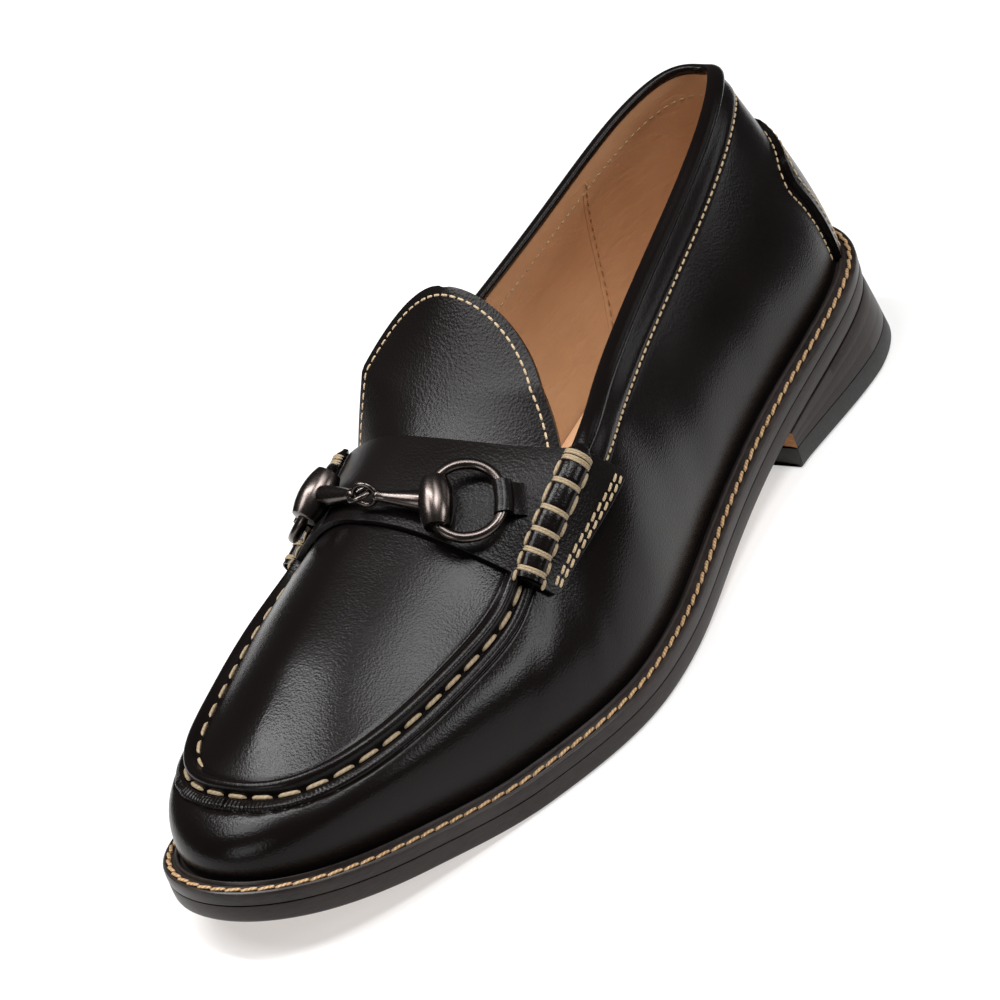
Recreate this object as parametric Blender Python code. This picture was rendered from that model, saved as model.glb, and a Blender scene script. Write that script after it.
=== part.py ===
"""Bit loafer for the left foot: stitched moccasin apron, saddle strap with rolled ends, metal bit, welted sole.

Shoe coordinates are in millimetres: s runs from the back of the welt to the toe, t is across the foot with the
outer (lateral) side positive, z is up from the floor.  World axes: +X lateral, toe towards -Y, +Z up, with the
origin under the middle of the shoe.
"""
import math

import bmesh
import bpy
import numpy as np

MM = 0.001
GAP = 0.3
SHARP_ANGLE = 40.0

# Driving sizes of the sole and the upper.
LENGTH = 300.0
OUTSOLE_THICK = 5.2
WELT_THICK = 4.0
FEATHER_INSET = 5.6
WELT_WIDTH = 8.2
INSOLE_PROUD = 1.2
LIFT_THICK = 6.0
HEEL_BREAST = 77.0
HEEL_FLARE = 3.0
HEEL_FADE = 1.6
HEEL_LEAST_FLARE = 0.1
HEEL_POINTS = 27
UPPER_WALL = 2.0
RIM_LIP = 0.8
SEAM_RIDGE = 2.2
SEAM_RIDGE_AT = 2.3
SEAM_RIDGE_WIDTH = 1.5
SEAM_RIDGE_FADE = 0.12
STRAP_LIFT = 0.4
STRAP_THICK = 1.8
TONGUE_THICK = 2.0
COUNTER_THICK = 1.4

# A point well inside the shoe.
INSIDE = (170.0, 0.0, 25.0)

# Columns round the shoe: an even number, from the toe along the outer side to the heel and back.
COLUMNS = 80
TOE_SHIFT = -3.5

# Welt outline: distance from the heel, half width on the outer side, half width on the inner side.
OUTLINE = (
    (286.0, 23.3, 30.0),
    (262.0, 35.5, 40.0),
    (230.0, 46.6, 48.4),
    (190.0, 55.6, 48.5),
    (150.0, 50.0, 38.2),
    (110.0, 40.2, 33.2),
    (70.0, 34.9, 34.0),
    (35.0, 31.8, 31.6),
    (12.0, 23.6, 22.9),
)

# Underside of the sole: distance from the heel, height above the floor.
SOLE_RISE = (
    (-10.0, 22.2),
    (0.0, 20.8),
    (35.0, 17.2),
    (70.0, 12.5),
    (120.0, 4.9),
    (160.0, 0.5),
    (190.0, 0.0),
    (226.0, 0.0),
    (262.0, 4.6),
    (300.0, 12.4),
    (310.0, 14.8),
)

# Sections of the upper.  Each row joins a feather station to the top edge there (apron seam in front, collar
# behind) and to the crown of the apron: feather s | top s, outer t, inner t, z, how much lower the inner side is |
# how far the wall swells low and high, how far it rises below and above, the inner side's share of the swell |
# crown s, t, z (front rows only).
SECTION_COLUMNS = ("feather", "top_s", "top_out", "top_in", "top_z", "in_drop",
                   "low_swell", "low_rise", "high_swell", "high_drop", "in_swell",
                   "crown_s", "crown_t", "crown_z")
SECTIONS = (
    (300.0, 280.5, -3.4, -3.4, 36.8, 0.0, 1.5, 9.0, 10.0, 1.5, 1.0, 256.5, -3.0, 45.5),
    (290.0, 276.5, 14.0, -20.5, 36.8, 0.0, 1.5, 9.0, 10.0, 2.0, 0.8, 251.5, -2.9, 47.5),
    (272.0, 265.0, 24.0, -28.6, 37.2, 0.0, 2.0, 10.0, 9.5, 3.5, 0.6, 243.5, -2.8, 50.8),
    (250.0, 247.5, 30.8, -33.4, 38.2, 0.0, 3.0, 11.0, 9.0, 5.0, 0.5, 232.5, -2.8, 55.2),
    (225.0, 225.0, 36.2, -36.8, 41.0, 0.5, 3.5, 13.0, 9.0, 7.0, 0.45, 219.0, -2.8, 60.8),
    (203.0, 206.0, 38.8, -37.2, 45.5, 2.6, 4.0, 14.0, 8.5, 9.0, 0.45, 206.5, -2.8, 65.8),
    (188.0, 194.0, 39.8, -35.2, 53.0, 5.6, 4.0, 17.0, 7.0, 13.0, 0.5, 197.0, -2.8, 68.8),
    (165.0, 167.5, 43.2, -33.4, 67.0, 7.2, 4.0, 20.0, 6.0, 20.0, 0.7, 176.0, -2.5, 73.7),
    (140.0, 143.0, 35.6, -30.0, 70.0, 3.0, 4.0, 20.0, 7.0, 21.0, 0.9, 0.0, 0.0, 0.0),
    (110.0, 113.0, 27.0, -26.2, 73.8, 0.8, 4.5, 20.0, 8.0, 21.0, 1.0, 0.0, 0.0, 0.0),
    (70.0, 78.0, 21.4, -21.4, 81.5, 0.0, 4.0, 21.0, 9.0, 22.0, 1.0, 0.0, 0.0, 0.0),
    (35.0, 47.0, 16.2, -16.6, 89.5, 0.0, 1.5, 20.0, 9.0, 26.0, 1.0, 0.0, 0.0, 0.0),
    (12.0, 28.2, 9.2, -9.8, 92.6, 0.0, -0.5, 16.0, 11.0, 33.0, 1.0, 0.0, 0.0, 0.0),
    (0.0, 20.8, 0.0, 0.0, 90.6, 0.0, -0.5, 16.0, 10.0, 33.0, 1.0, 0.0, 0.0, 0.0),
)
APRON_EDGE_SLOPE = 1.75

# Strap across the instep: columns from its front edge to its rear edge at the crown, how far its tabs run down the
# wall, and how its edges rake back towards the tabs: place across (-1 end of the tab, 0 seam, 1 crown), stations of
# the front and the rear edge.
STRAP_FRONT = 200.0
STRAP_REAR = 166.0
TAB_DEPTH = 0.24
STRAP_EDGES = (
    (-1.0, 191.5, 157.5),
    (0.0, 194.5, 165.0),
    (0.4, 196.8, STRAP_REAR),
    (1.0, STRAP_FRONT, STRAP_REAR),
)
ROLL_WIDTH = 7.2
ROLL_HEIGHT = 3.0
ROLL_END = 0.62
ROLL_POINTS = 8

# Tongue: its tip, half widths (outer, inner), roundness of its outline, how far its edges curl back, and how far
# its edges lie from the seam at its root and behind the strap.
TONGUE_TIP = (146.0, -3.0, 101.0)
TONGUE_HALF = (36.5, 31.0)
TONGUE_ROUND = 1.75
TONGUE_EDGE_BACK = (6.5, 10.0)
TONGUE_EDGE_OUT = (3.4, 4.8)
TONGUE_EDGE_IN = (3.4, 3.4)
TONGUE_BUTT = 0.5
TONGUE_EARLY_RISE = 0.6
TONGUE_HALF_POINTS = 8
TONGUE_ROWS = (0.10, 0.22, 0.36, 0.50, 0.63, 0.75, 0.86, 0.945, 0.99)

# Heel counter: its edge as height up the wall and distance round from the middle of the back.
COUNTER_EDGE = (
    (0.05, 0.475),
    (0.26, 0.475),
    (0.415, 0.485),
    (0.535, 0.505),
    (0.635, 0.455),
    (0.70, 0.32),
    (0.755, 0.17),
)
COUNTER_ACROSS = 16
COUNTER_ROWS = 10
COUNTER_LIFT = 0.55

# Bit: two cast halves that meet in linked eyes over the middle of the strap.  Places are s and t of a half's
# barrel and of the keeper that its ring swings in.
BIT_LINK = (203.0, -0.5, 75.0)
BIT_SIDES = ("lateral", "medial")
BARREL_PLACES = ((196.5, 17.0), (196.5, -17.5))
KEEPER_PLACES = ((187.5, 30.8), (190.5, -29.0))
BARREL_LENGTH = 13.0
BARREL_RADIUS = 4.3
BARREL_NECK = 2.5
BARREL_CLEAR = 0.5
RING_WIRE = 1.4
RING_CLEAR = 1.5
RING_HALF_HEIGHT = 10.4
RING_ROUND = 0.8
RING_BACK = ((0.97, 0.5), (0.78, 0.0), (0.0, 0.0), (-0.78, 0.0), (-0.97, 0.5))
BAR_RADIUS_OUT = 2.2
BAR_RADIUS_IN = 1.3
EYE_RADIUS = 3.1
EYE_WIRE = 0.7
EYE_OFFSET = 0.78
RING_STEPS = 16
RING_SIDES = 8
BARREL_SIDES = 14
BAR_SIDES = 12
KEEPER_RISE = 3.2
KEEPER_CLEAR = 0.35
KEEPER_LENGTH = 8.5
KEEPER_INWARD = 1.0
KEEPER_HALF = 4.4
TUNNEL_HALF = 3.5
TUNNEL_RADIUS = 2.0

COLOURS = {
    "calf": ((0.012, 0.011, 0.010), 0.28, 0.0),
    "welt_leather": ((0.020, 0.016, 0.013), 0.40, 0.0),
    "sole_leather": ((0.022, 0.016, 0.012), 0.45, 0.0),
    "stacked_heel": ((0.030, 0.020, 0.015), 0.45, 0.0),
    "lift_rubber": ((0.010, 0.010, 0.010), 0.60, 0.0),
    "insole_leather": ((0.55, 0.33, 0.18), 0.60, 0.0),
    "gunmetal": ((0.16, 0.15, 0.15), 0.18, 1.0),
}


def unit(vectors):
    """Vectors scaled to length one."""
    vectors = np.asarray(vectors, float)
    return vectors / np.linalg.norm(vectors, axis=-1, keepdims=True)


def closed_spline(knots, values, period):
    """Closed cubic curve through rows of values at the given knots."""
    knots, values = np.asarray(knots, float), np.asarray(values, float)
    count = len(knots)
    step = np.diff(np.append(knots, knots[0] + period))
    slope = (np.roll(values, -1, axis=0) - values) / step[:, None]
    matrix = np.zeros((count, count))
    for i in range(count):
        matrix[i, i - 1] += step[i - 1]
        matrix[i, i] += 2 * (step[i - 1] + step[i])
        matrix[i, (i + 1) % count] += step[i]
    bend = np.linalg.solve(matrix, 6 * (slope - np.roll(slope, 1, axis=0)))

    def at(place):
        place = (np.asarray(place, float) - knots[0]) % period + knots[0]
        i = np.clip(np.searchsorted(knots, place, side="right") - 1, 0, count - 1)
        j = (i + 1) % count
        width = step[i][:, None]
        right = (place - knots[i])[:, None]
        left = width - right
        return ((bend[i] * left ** 3 + bend[j] * right ** 3) / (6 * width)
                + (values[i] / width - bend[i] * width / 6) * left
                + (values[j] / width - bend[j] * width / 6) * right)

    return at


def steady_curve(places, values):
    """Curve through points that keeps flat stretches flat and never overshoots."""
    places, values = np.asarray(places, float), np.asarray(values, float)
    step = np.diff(places)
    slope = np.diff(values) / step
    tangent = np.concatenate(([slope[0]], np.zeros(len(step) - 1), [slope[-1]]))
    for i in range(1, len(step)):
        if slope[i - 1] * slope[i] > 0:
            tangent[i] = 2 * slope[i - 1] * slope[i] / (slope[i - 1] + slope[i])

    def at(place):
        place = np.asarray(place, float)
        i = np.clip(np.searchsorted(places, place, side="right") - 1, 0, len(step) - 1)
        u = (place - places[i]) / step[i]
        return (values[i] * (1 + 2 * u) * (1 - u) ** 2 + values[i + 1] * u * u * (3 - 2 * u)
                + step[i] * (tangent[i] * u * (1 - u) ** 2 - tangent[i + 1] * u * u * (1 - u)))

    return at


def station_angle(station):
    """Angle round the shoe, 0 at the toe and pi at the heel, of a distance from the heel."""
    return np.arccos(np.clip(2 * np.asarray(station, float) / LENGTH - 1, -1, 1))


# Sole outline and the height of its underside.
OUTLINE_ANGLES = [0.0] + [float(station_angle(row[0])) for row in OUTLINE] + [math.pi]
OUTLINE_ANGLES += [2 * math.pi - float(station_angle(row[0])) for row in reversed(OUTLINE)]
OUTLINE_WIDTHS = [TOE_SHIFT] + [row[1] for row in OUTLINE] + [0.0] + [-row[2] for row in reversed(OUTLINE)]
outline_width = closed_spline(OUTLINE_ANGLES, np.array(OUTLINE_WIDTHS)[:, None], 2 * math.pi)
sole_rise = steady_curve([row[0] for row in SOLE_RISE], [row[1] for row in SOLE_RISE])


def outline(angles):
    """Welt edge as s, t and its outward normal."""
    def place(a):
        return np.stack([LENGTH / 2 * (1 + np.cos(a)), outline_width(a)[:, 0]], axis=-1)

    angles = np.asarray(angles, float)
    nudge = 1e-4
    along = unit(place(angles + nudge) - place(angles - nudge))
    return place(angles), np.stack([along[:, 1], -along[:, 0]], axis=-1)


def sole_loop(angles, inset, lift):
    """Ring of points inside the welt edge, a height above the underside of the sole."""
    edge, normal = outline(angles)
    plan = edge - normal * inset
    return np.column_stack([plan, sole_rise(plan[:, 0]) + lift])


# Upper: wall from the feather line to its top edge, and the apron inside the seam.
WELT_TOP = OUTSOLE_THICK + GAP + WELT_THICK


def section_values(outer):
    """Rows of top s, t, z and of the wall's swell and rise for the outer or the inner side."""
    rows = []
    for row in SECTIONS:
        named = dict(zip(SECTION_COLUMNS, row))
        side, drop, swell = (named["top_out"], 0.0, 1.0) if outer else (
            named["top_in"], named["in_drop"], named["in_swell"])
        rows.append([named["top_s"], side, named["top_z"] - drop, named["low_swell"] * swell,
                     named["low_rise"], named["high_swell"] * swell, named["high_drop"]])
    return rows


SECTION_ANGLES = [float(station_angle(row[0])) for row in SECTIONS]
top_edge = closed_spline(
    SECTION_ANGLES + [2 * math.pi - a for a in reversed(SECTION_ANGLES[1:-1])],
    section_values(True) + section_values(False)[-2:0:-1], 2 * math.pi)
CROWN_ROWS = [row for row in SECTIONS if row[-1] > 0]
CROWN_ANGLES = [float(station_angle(row[0])) for row in CROWN_ROWS]
crown_curves = [steady_curve(CROWN_ANGLES, [row[i] for row in CROWN_ROWS]) for i in (-3, -2, -1)]


def crown(angles):
    """Point on the crown of the apron that a column runs up to, the same for both sides."""
    turn = np.abs((np.asarray(angles, float) + math.pi) % (2 * math.pi) - math.pi)
    return np.stack([curve(turn) for curve in crown_curves], axis=-1)


def wall(angles, heights):
    """Outside of the wall: one row for each angle, from the feather line (0) to the top edge (1)."""
    angles, heights = np.asarray(angles, float), np.asarray(heights, float)
    normal = np.column_stack([outline(angles)[1], np.zeros(len(angles))])
    foot = sole_loop(angles, FEATHER_INSET, WELT_TOP + GAP)
    values = top_edge(angles)
    top, low_swell, low_rise, high_swell, high_drop = values[:, :3], *values[:, 3:].T
    up = np.array([0.0, 0.0, 1.0])
    low = foot + normal * low_swell[:, None] + up * low_rise[:, None]
    high = top + normal * high_swell[:, None] - up * high_drop[:, None]
    v = heights[None, :, None]
    return (foot[:, None] * (1 - v) ** 3 + low[:, None] * 3 * v * (1 - v) ** 2
            + high[:, None] * 3 * v * v * (1 - v) + top[:, None] * v ** 3)


def apron(angles, shares):
    """Apron: one row for each angle, from the seam (0) to the crown (1); shares may differ by row."""
    angles = np.asarray(angles, float)
    shares = np.broadcast_to(np.asarray(shares, float), (len(angles), np.shape(shares)[-1]))
    seam = top_edge(angles)[:, :3]
    ridge = crown(angles)
    nudge = 1e-3
    ahead, behind = crown(np.abs(angles) + nudge), crown(np.abs(angles) + 2 * nudge)
    crown_slope = (ahead[:, 2] - behind[:, 2]) / (ahead[:, 0] - behind[:, 0])
    u = shares
    step = (ridge - seam)[:, :2]
    squareness = (step[:, 1:] / np.linalg.norm(step, axis=1, keepdims=True)) ** 2
    start = APRON_EDGE_SLOPE * (ridge[:, 2] - seam[:, 2])
    finish = crown_slope * step[:, 0] * (1 - squareness[:, 0])
    plan = np.stack([seam[:, :1] + step[:, :1] * (u + squareness * u * (1 - u)),
                     seam[:, 1:2] + step[:, 1:] * u], axis=-1)
    z = (seam[:, 2:] * (1 + 2 * u) * (1 - u) ** 2 + ridge[:, 2:] * u * u * (3 - 2 * u)
         + start[:, None] * u * (1 - u) ** 2 - finish[:, None] * u * u * (1 - u))
    return np.concatenate([plan, z[..., None]], axis=-1)


# Columns: fine across the strap, wider round the toe and the heel.
HALF = COLUMNS // 2
TOE_COLUMNS, STRAP_COLUMNS = 16, 6
FRONT_ANGLE, REAR_ANGLE = float(station_angle(STRAP_FRONT)), float(station_angle(STRAP_REAR))
SIDE_ANGLES = np.concatenate([
    np.linspace(0, FRONT_ANGLE, TOE_COLUMNS, endpoint=False),
    np.linspace(FRONT_ANGLE, REAR_ANGLE, STRAP_COLUMNS, endpoint=False),
    np.linspace(REAR_ANGLE, math.pi, HALF - TOE_COLUMNS - STRAP_COLUMNS + 1)])
ANGLES = np.concatenate([SIDE_ANGLES, 2 * math.pi - SIDE_ANGLES[-2:0:-1]])
STRAP_FIRST, STRAP_LAST = TOE_COLUMNS, TOE_COLUMNS + STRAP_COLUMNS
APRON_LAST = TOE_COLUMNS + STRAP_COLUMNS // 2
WALL_HEIGHTS = np.array([0.0, 0.12, 0.25, 0.38, 0.52, 0.64, 0.76, 0.88, 1.0])
TAB_HEIGHTS = WALL_HEIGHTS[WALL_HEIGHTS > 1 - TAB_DEPTH - GAP * MM]
EDGE_PLACES, FRONT_STATIONS, REAR_STATIONS = np.array(STRAP_EDGES).T
strap_front = steady_curve(EDGE_PLACES, station_angle(FRONT_STATIONS))
strap_rear = steady_curve(EDGE_PLACES, station_angle(REAR_STATIONS))
SEAM_STEPS = np.array([0.0, 1.2, 2.3, 3.5, 5.4])
CROWN_SHARES = np.array([0.30, 0.46, 0.63, 0.81, 1.0])


def apron_shares(angles):
    """Places along each apron column: fixed steps beside the seam, then shares of the way to the crown."""
    reach = np.linalg.norm((crown(angles) - top_edge(angles)[:, :3])[:, :2], axis=1)
    near = SEAM_STEPS[None] / reach[:, None]
    return np.concatenate([near, np.repeat(CROWN_SHARES[None], len(near), axis=0)], axis=1)


# Where the shoe stands in the world.
RING = sole_loop(ANGLES, 0.0, 0.0)
ORIGIN_S = (RING[:, 0].max() + RING[:, 0].min() - HEEL_FLARE + GAP) / 2
ORIGIN_T = (RING[:, 1].max() + RING[:, 1].min()) / 2


def to_world(points):
    """Shoe millimetres to world metres."""
    points = np.asarray(points, float)
    return np.stack([points[..., 1] - ORIGIN_T, ORIGIN_S - points[..., 0], points[..., 2]], axis=-1) * MM


# Meshes.

def material(name):
    """Principled material of one of the shoe's finishes."""
    found = bpy.data.materials.get(name)
    if found:
        return found
    colour, roughness, metallic = COLOURS[name]
    made = bpy.data.materials.new(name)
    made.use_nodes = True
    shader = made.node_tree.nodes["Principled BSDF"]
    shader.inputs["Base Color"].default_value = (*colour, 1.0)
    shader.inputs["Roughness"].default_value = roughness
    shader.inputs["Metallic"].default_value = metallic
    return made


def add_piece(name, points, faces, finish, place=None):
    """Closed named object from shoe points and faces, its faces turned outwards and its origin at a place."""
    origin = np.zeros(3) if place is None else to_world(place)
    mesh = bpy.data.meshes.new(name)
    mesh.from_pydata((to_world(points) - origin).tolist(), [], [[int(i) for i in face] for face in faces])
    work = bmesh.new()
    work.from_mesh(mesh)
    bmesh.ops.recalc_face_normals(work, faces=work.faces[:])
    work.to_mesh(mesh)
    work.free()
    mesh.shade_smooth()
    mesh.set_sharp_from_angle(angle=math.radians(SHARP_ANGLE))
    mesh.materials.append(material(finish))
    piece = bpy.data.objects.new(name, mesh)
    piece.location = origin
    bpy.context.scene.collection.objects.link(piece)
    return piece


def grid_faces(rows, columns, start=0, closed=False):
    """Quads of a grid of points stored row by row; closed joins the last column to the first."""
    faces = []
    for r in range(rows - 1):
        for c in range(columns if closed else columns - 1):
            d = (c + 1) % columns
            a, b = start + r * columns, start + (r + 1) * columns
            faces.append((a + c, a + d, b + d, b + c))
    return faces


def lid_faces(count, start, full):
    """Faces that close a ring of points by rungs from one side of the shoe to the other."""
    if full:
        pairs = [(start + k, start + count - k) for k in range(1, count // 2)]
        faces = [(start, start + 1, start + count - 1)]
        faces.append((pairs[-1][0], start + count // 2, pairs[-1][1]))
    else:
        pairs = [(start + k, start + count - 1 - k) for k in range(count // 2)]
        faces = [] if count % 2 == 0 else [(pairs[-1][0], start + count // 2, pairs[-1][1])]
    faces += [(a, c, d, b) for (a, b), (c, d) in zip(pairs[:-1], pairs[1:])]
    return faces


def stacked_piece(name, rings, finish, full=True):
    """Solid between a stack of rings, closed by rungs above and below."""
    count = len(rings[0])
    faces = grid_faces(len(rings), count, closed=True)
    faces += lid_faces(count, 0, full) + lid_faces(count, count * (len(rings) - 1), full)
    add_piece(name, np.concatenate(rings), faces, finish)


def outward(points, normals):
    """Normals turned, all together, away from the inside of the shoe."""
    return normals if np.sum((points - INSIDE) * normals) > 0 else -normals


def grid_normals(grid):
    """Outward unit normals of a grid of points."""
    return outward(grid, unit(np.cross(np.gradient(grid, axis=0), np.gradient(grid, axis=1))))


def plate_piece(name, grid, normals, low, high, finish):
    """Solid of a curved sheet: the grid raised to two heights along its normals and closed round its edge."""
    rows, columns = grid.shape[:2]
    count = rows * columns
    points = np.concatenate([(grid + normals * low).reshape(-1, 3), (grid + normals * high).reshape(-1, 3)])
    faces = grid_faces(rows, columns) + [f[::-1] for f in grid_faces(rows, columns, start=count)]
    edge = list(range(columns - 1)) + [r * columns + columns - 1 for r in range(rows - 1)]
    edge += [(rows - 1) * columns + c for c in range(columns - 1, 0, -1)]
    edge += [r * columns for r in range(rows - 1, 0, -1)]
    for a, b in zip(edge, edge[1:] + edge[:1]):
        faces.append((b, a, a + count, b + count))
    add_piece(name, points, faces, finish)


# Sole and heel.

def make_outsole():
    """Leather outsole: follows the arch, toe spring and heel pitch."""
    edge = ((1.0, 0.0), (0.4, 0.8), (0.2, OUTSOLE_THICK))
    rings = [sole_loop(ANGLES, inset, height) for inset, height in edge]
    stacked_piece("outsole", rings, "sole_leather")


def make_welt():
    """Welt strip all round, with the raised bead that the upper sits against."""
    section = ((0.2, 0.0), (0.0, 3.3), (0.7, WELT_THICK), (3.1, WELT_THICK),
               (4.15, WELT_THICK + 1.6), (5.2, WELT_THICK), (WELT_WIDTH, WELT_THICK), (WELT_WIDTH, 0.0))
    base = OUTSOLE_THICK + GAP
    rings = [sole_loop(ANGLES, inset, base + height) for inset, height in section]
    count = len(ANGLES)
    faces = grid_faces(len(rings) + 1, count, closed=True)
    total = count * len(rings)
    faces = [tuple(i % total for i in face) for face in faces]
    add_piece("welt", np.concatenate(rings), faces, "welt_leather")


def make_insole():
    """Insole inside the welt, a little proud of it."""
    top = WELT_THICK + INSOLE_PROUD
    edge = ((0.0, 0.0), (0.0, top - 0.5), (0.5, top))
    rings = [sole_loop(ANGLES, WELT_WIDTH + GAP + inset, OUTSOLE_THICK + GAP + height) for inset, height in edge]
    stacked_piece("insole", rings, "insole_leather")


def heel_ring(flare, height):
    """Heel outline: welt edge behind the breast, standing out by a flare that fades towards the breast."""
    start = float(station_angle(HEEL_BREAST))
    turns = np.linspace(start, 2 * math.pi - start, HEEL_POINTS)
    edge, normal = outline(turns)
    fade = np.clip((1 - edge[:, 0] / HEEL_BREAST) * HEEL_FADE, HEEL_LEAST_FLARE, 1.0)
    plan = edge + normal * (flare * fade - GAP)[:, None]
    z = sole_rise(np.minimum(plan[:, 0], HEEL_BREAST)) - GAP if height is None else np.full(len(plan), height)
    return np.column_stack([plan, z])


def make_heel():
    """Stacked leather heel and the rubber top lift under it."""
    lift_share = LIFT_THICK / float(sole_rise(0.0))
    block = [heel_ring(HEEL_FLARE * (1 - lift_share), LIFT_THICK + GAP), heel_ring(0.0, None)]
    stacked_piece("heel_block", block, "stacked_heel", full=False)
    lift = [heel_ring(HEEL_FLARE, 0.0), heel_ring(HEEL_FLARE * (1 - lift_share), LIFT_THICK)]
    stacked_piece("heel_top_lift", lift, "lift_rubber", full=False)


# Upper and what is sewn to it.

def seam_ridge(angles, shares):
    """Height of the rolled edge that stands up inside the apron seam; it dies away at the strap."""
    reach = np.linalg.norm((crown(angles) - top_edge(angles)[:, :3])[:, :2], axis=1)
    away = shares * reach[:, None]
    turn = np.minimum(angles, 2 * math.pi - angles)
    fade = np.clip((strap_front(0.0) - turn) / SEAM_RIDGE_FADE, 0, 1)
    return SEAM_RIDGE * np.exp(-((away - SEAM_RIDGE_AT) / SEAM_RIDGE_WIDTH) ** 2) * fade[:, None]


def make_upper():
    """Upper: wall and apron in one hollow shell, open at the collar and throat and underneath."""
    count, heights = len(ANGLES), len(WALL_HEIGHTS)
    walls = wall(ANGLES, WALL_HEIGHTS)
    front = [k % count for k in range(-APRON_LAST, APRON_LAST + 1)]
    shares = apron_shares(ANGLES[front])
    aprons = apron(ANGLES[front], shares)
    ridges = seam_ridge(ANGLES[front], shares)
    steps = shares.shape[1]
    points, lifts, number = [], [], {}

    def place(key, point, lift=0.0):
        if key not in number:
            number[key] = len(points)
            points.append(point)
            lifts.append(lift)
        return number[key]

    def apron_key(column, step):
        if step == 0:
            return ("wall", column % count, heights - 1)
        return ("crown", abs(column)) if step == steps - 1 else ("apron", column, step)

    faces = []
    for k in range(count):
        for i in range(heights):
            place(("wall", k, i), walls[k, i])
    for row, k in enumerate(range(-APRON_LAST, APRON_LAST + 1)):
        for j in range(1, steps):
            place(apron_key(k, j), aprons[row, j], ridges[row, j])
    for k in range(count):
        m = (k + 1) % count
        for i in range(heights - 1):
            corners = (("wall", k, i), ("wall", m, i), ("wall", m, i + 1), ("wall", k, i + 1))
            faces.append([number[c] for c in corners])
    for k in range(-APRON_LAST, APRON_LAST):
        for j in range(steps - 1):
            corners = (apron_key(k, j), apron_key(k + 1, j), apron_key(k + 1, j + 1), apron_key(k, j + 1))
            faces.append([number[c] for c in corners])

    points, lifts = np.array(points), np.array(lifts)
    normals = vertex_normals(points, faces)
    outside = points + normals * lifts[:, None]
    inside = points - normals * UPPER_WALL
    foot = [number[("wall", k, 0)] for k in range(count)]
    inside[foot, 2] = points[foot, 2]
    rim = [number[("wall", k, heights - 1)] for k in range(APRON_LAST, count - APRON_LAST + 1)]
    throat = [number[apron_key(-APRON_LAST, j)] for j in range(1, steps)]
    throat += [number[apron_key(APRON_LAST, j)] for j in range(steps - 2, 0, -1)]
    lip = (outside + inside) / 2
    lip[rim, 2] += RIM_LIP
    edge = rim + throat
    total = len(points)
    lip_number = {v: 2 * total + i for i, v in enumerate(edge)}
    everything = np.concatenate([outside, inside, lip[edge]])
    shell = [tuple(f) for f in faces] + [tuple(i + total for i in reversed(f)) for f in faces]
    for a, b in zip(edge, edge[1:] + edge[:1]):
        shell.append((a, b, lip_number[b], lip_number[a]))
        shell.append((lip_number[a], lip_number[b], b + total, a + total))
    for a, b in zip(foot, foot[1:] + foot[:1]):
        shell.append((b, a, a + total, b + total))
    add_piece("upper", everything, shell, "calf")


def vertex_normals(points, faces):
    """Outward unit normal at each point of a quad mesh of the shoe's outside."""
    normals = np.zeros_like(points)
    for face in faces:
        a, b, c, d = (points[i] for i in face)
        turn = np.cross(c - a, d - b)
        for i in face:
            normals[i] += turn
    return outward(points, unit(normals))


def instep_grid(first, last, side_points):
    """Rows across the instep for columns first to last: up the outer side, over the crown and down the inner."""
    rows = []
    for k in range(first, last + 1):
        outer, inner = side_points(k, 1), side_points(k, -1)
        rows.append(np.concatenate([outer, inner[-2::-1]]))
    return np.array(rows)


def make_strap():
    """Saddle strap over the instep; its end tabs run down the wall on both sides, raked back towards their ends."""
    def side_points(column, side):
        passed = (column - STRAP_FIRST) / STRAP_COLUMNS
        shares = apron_shares(ANGLES[[side * column]])[0, 1:]
        places = np.concatenate([(TAB_HEIGHTS - 1) / TAB_DEPTH, shares])
        turns = side * (strap_front(places) * (1 - passed) + strap_rear(places) * passed)
        tab = [wall([turn], [height])[0, 0] for turn, height in zip(turns, TAB_HEIGHTS)]
        rest = [apron([turn], [share])[0, 0] for turn, share in zip(turns[len(tab):], shares)]
        return np.array(tab + rest)

    grid = instep_grid(STRAP_FIRST, STRAP_LAST, side_points)
    normals = grid_normals(grid)
    plate_piece("saddle_strap", grid, normals, STRAP_LIFT, STRAP_LIFT + STRAP_THICK, "calf")
    return grid, normals


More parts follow.
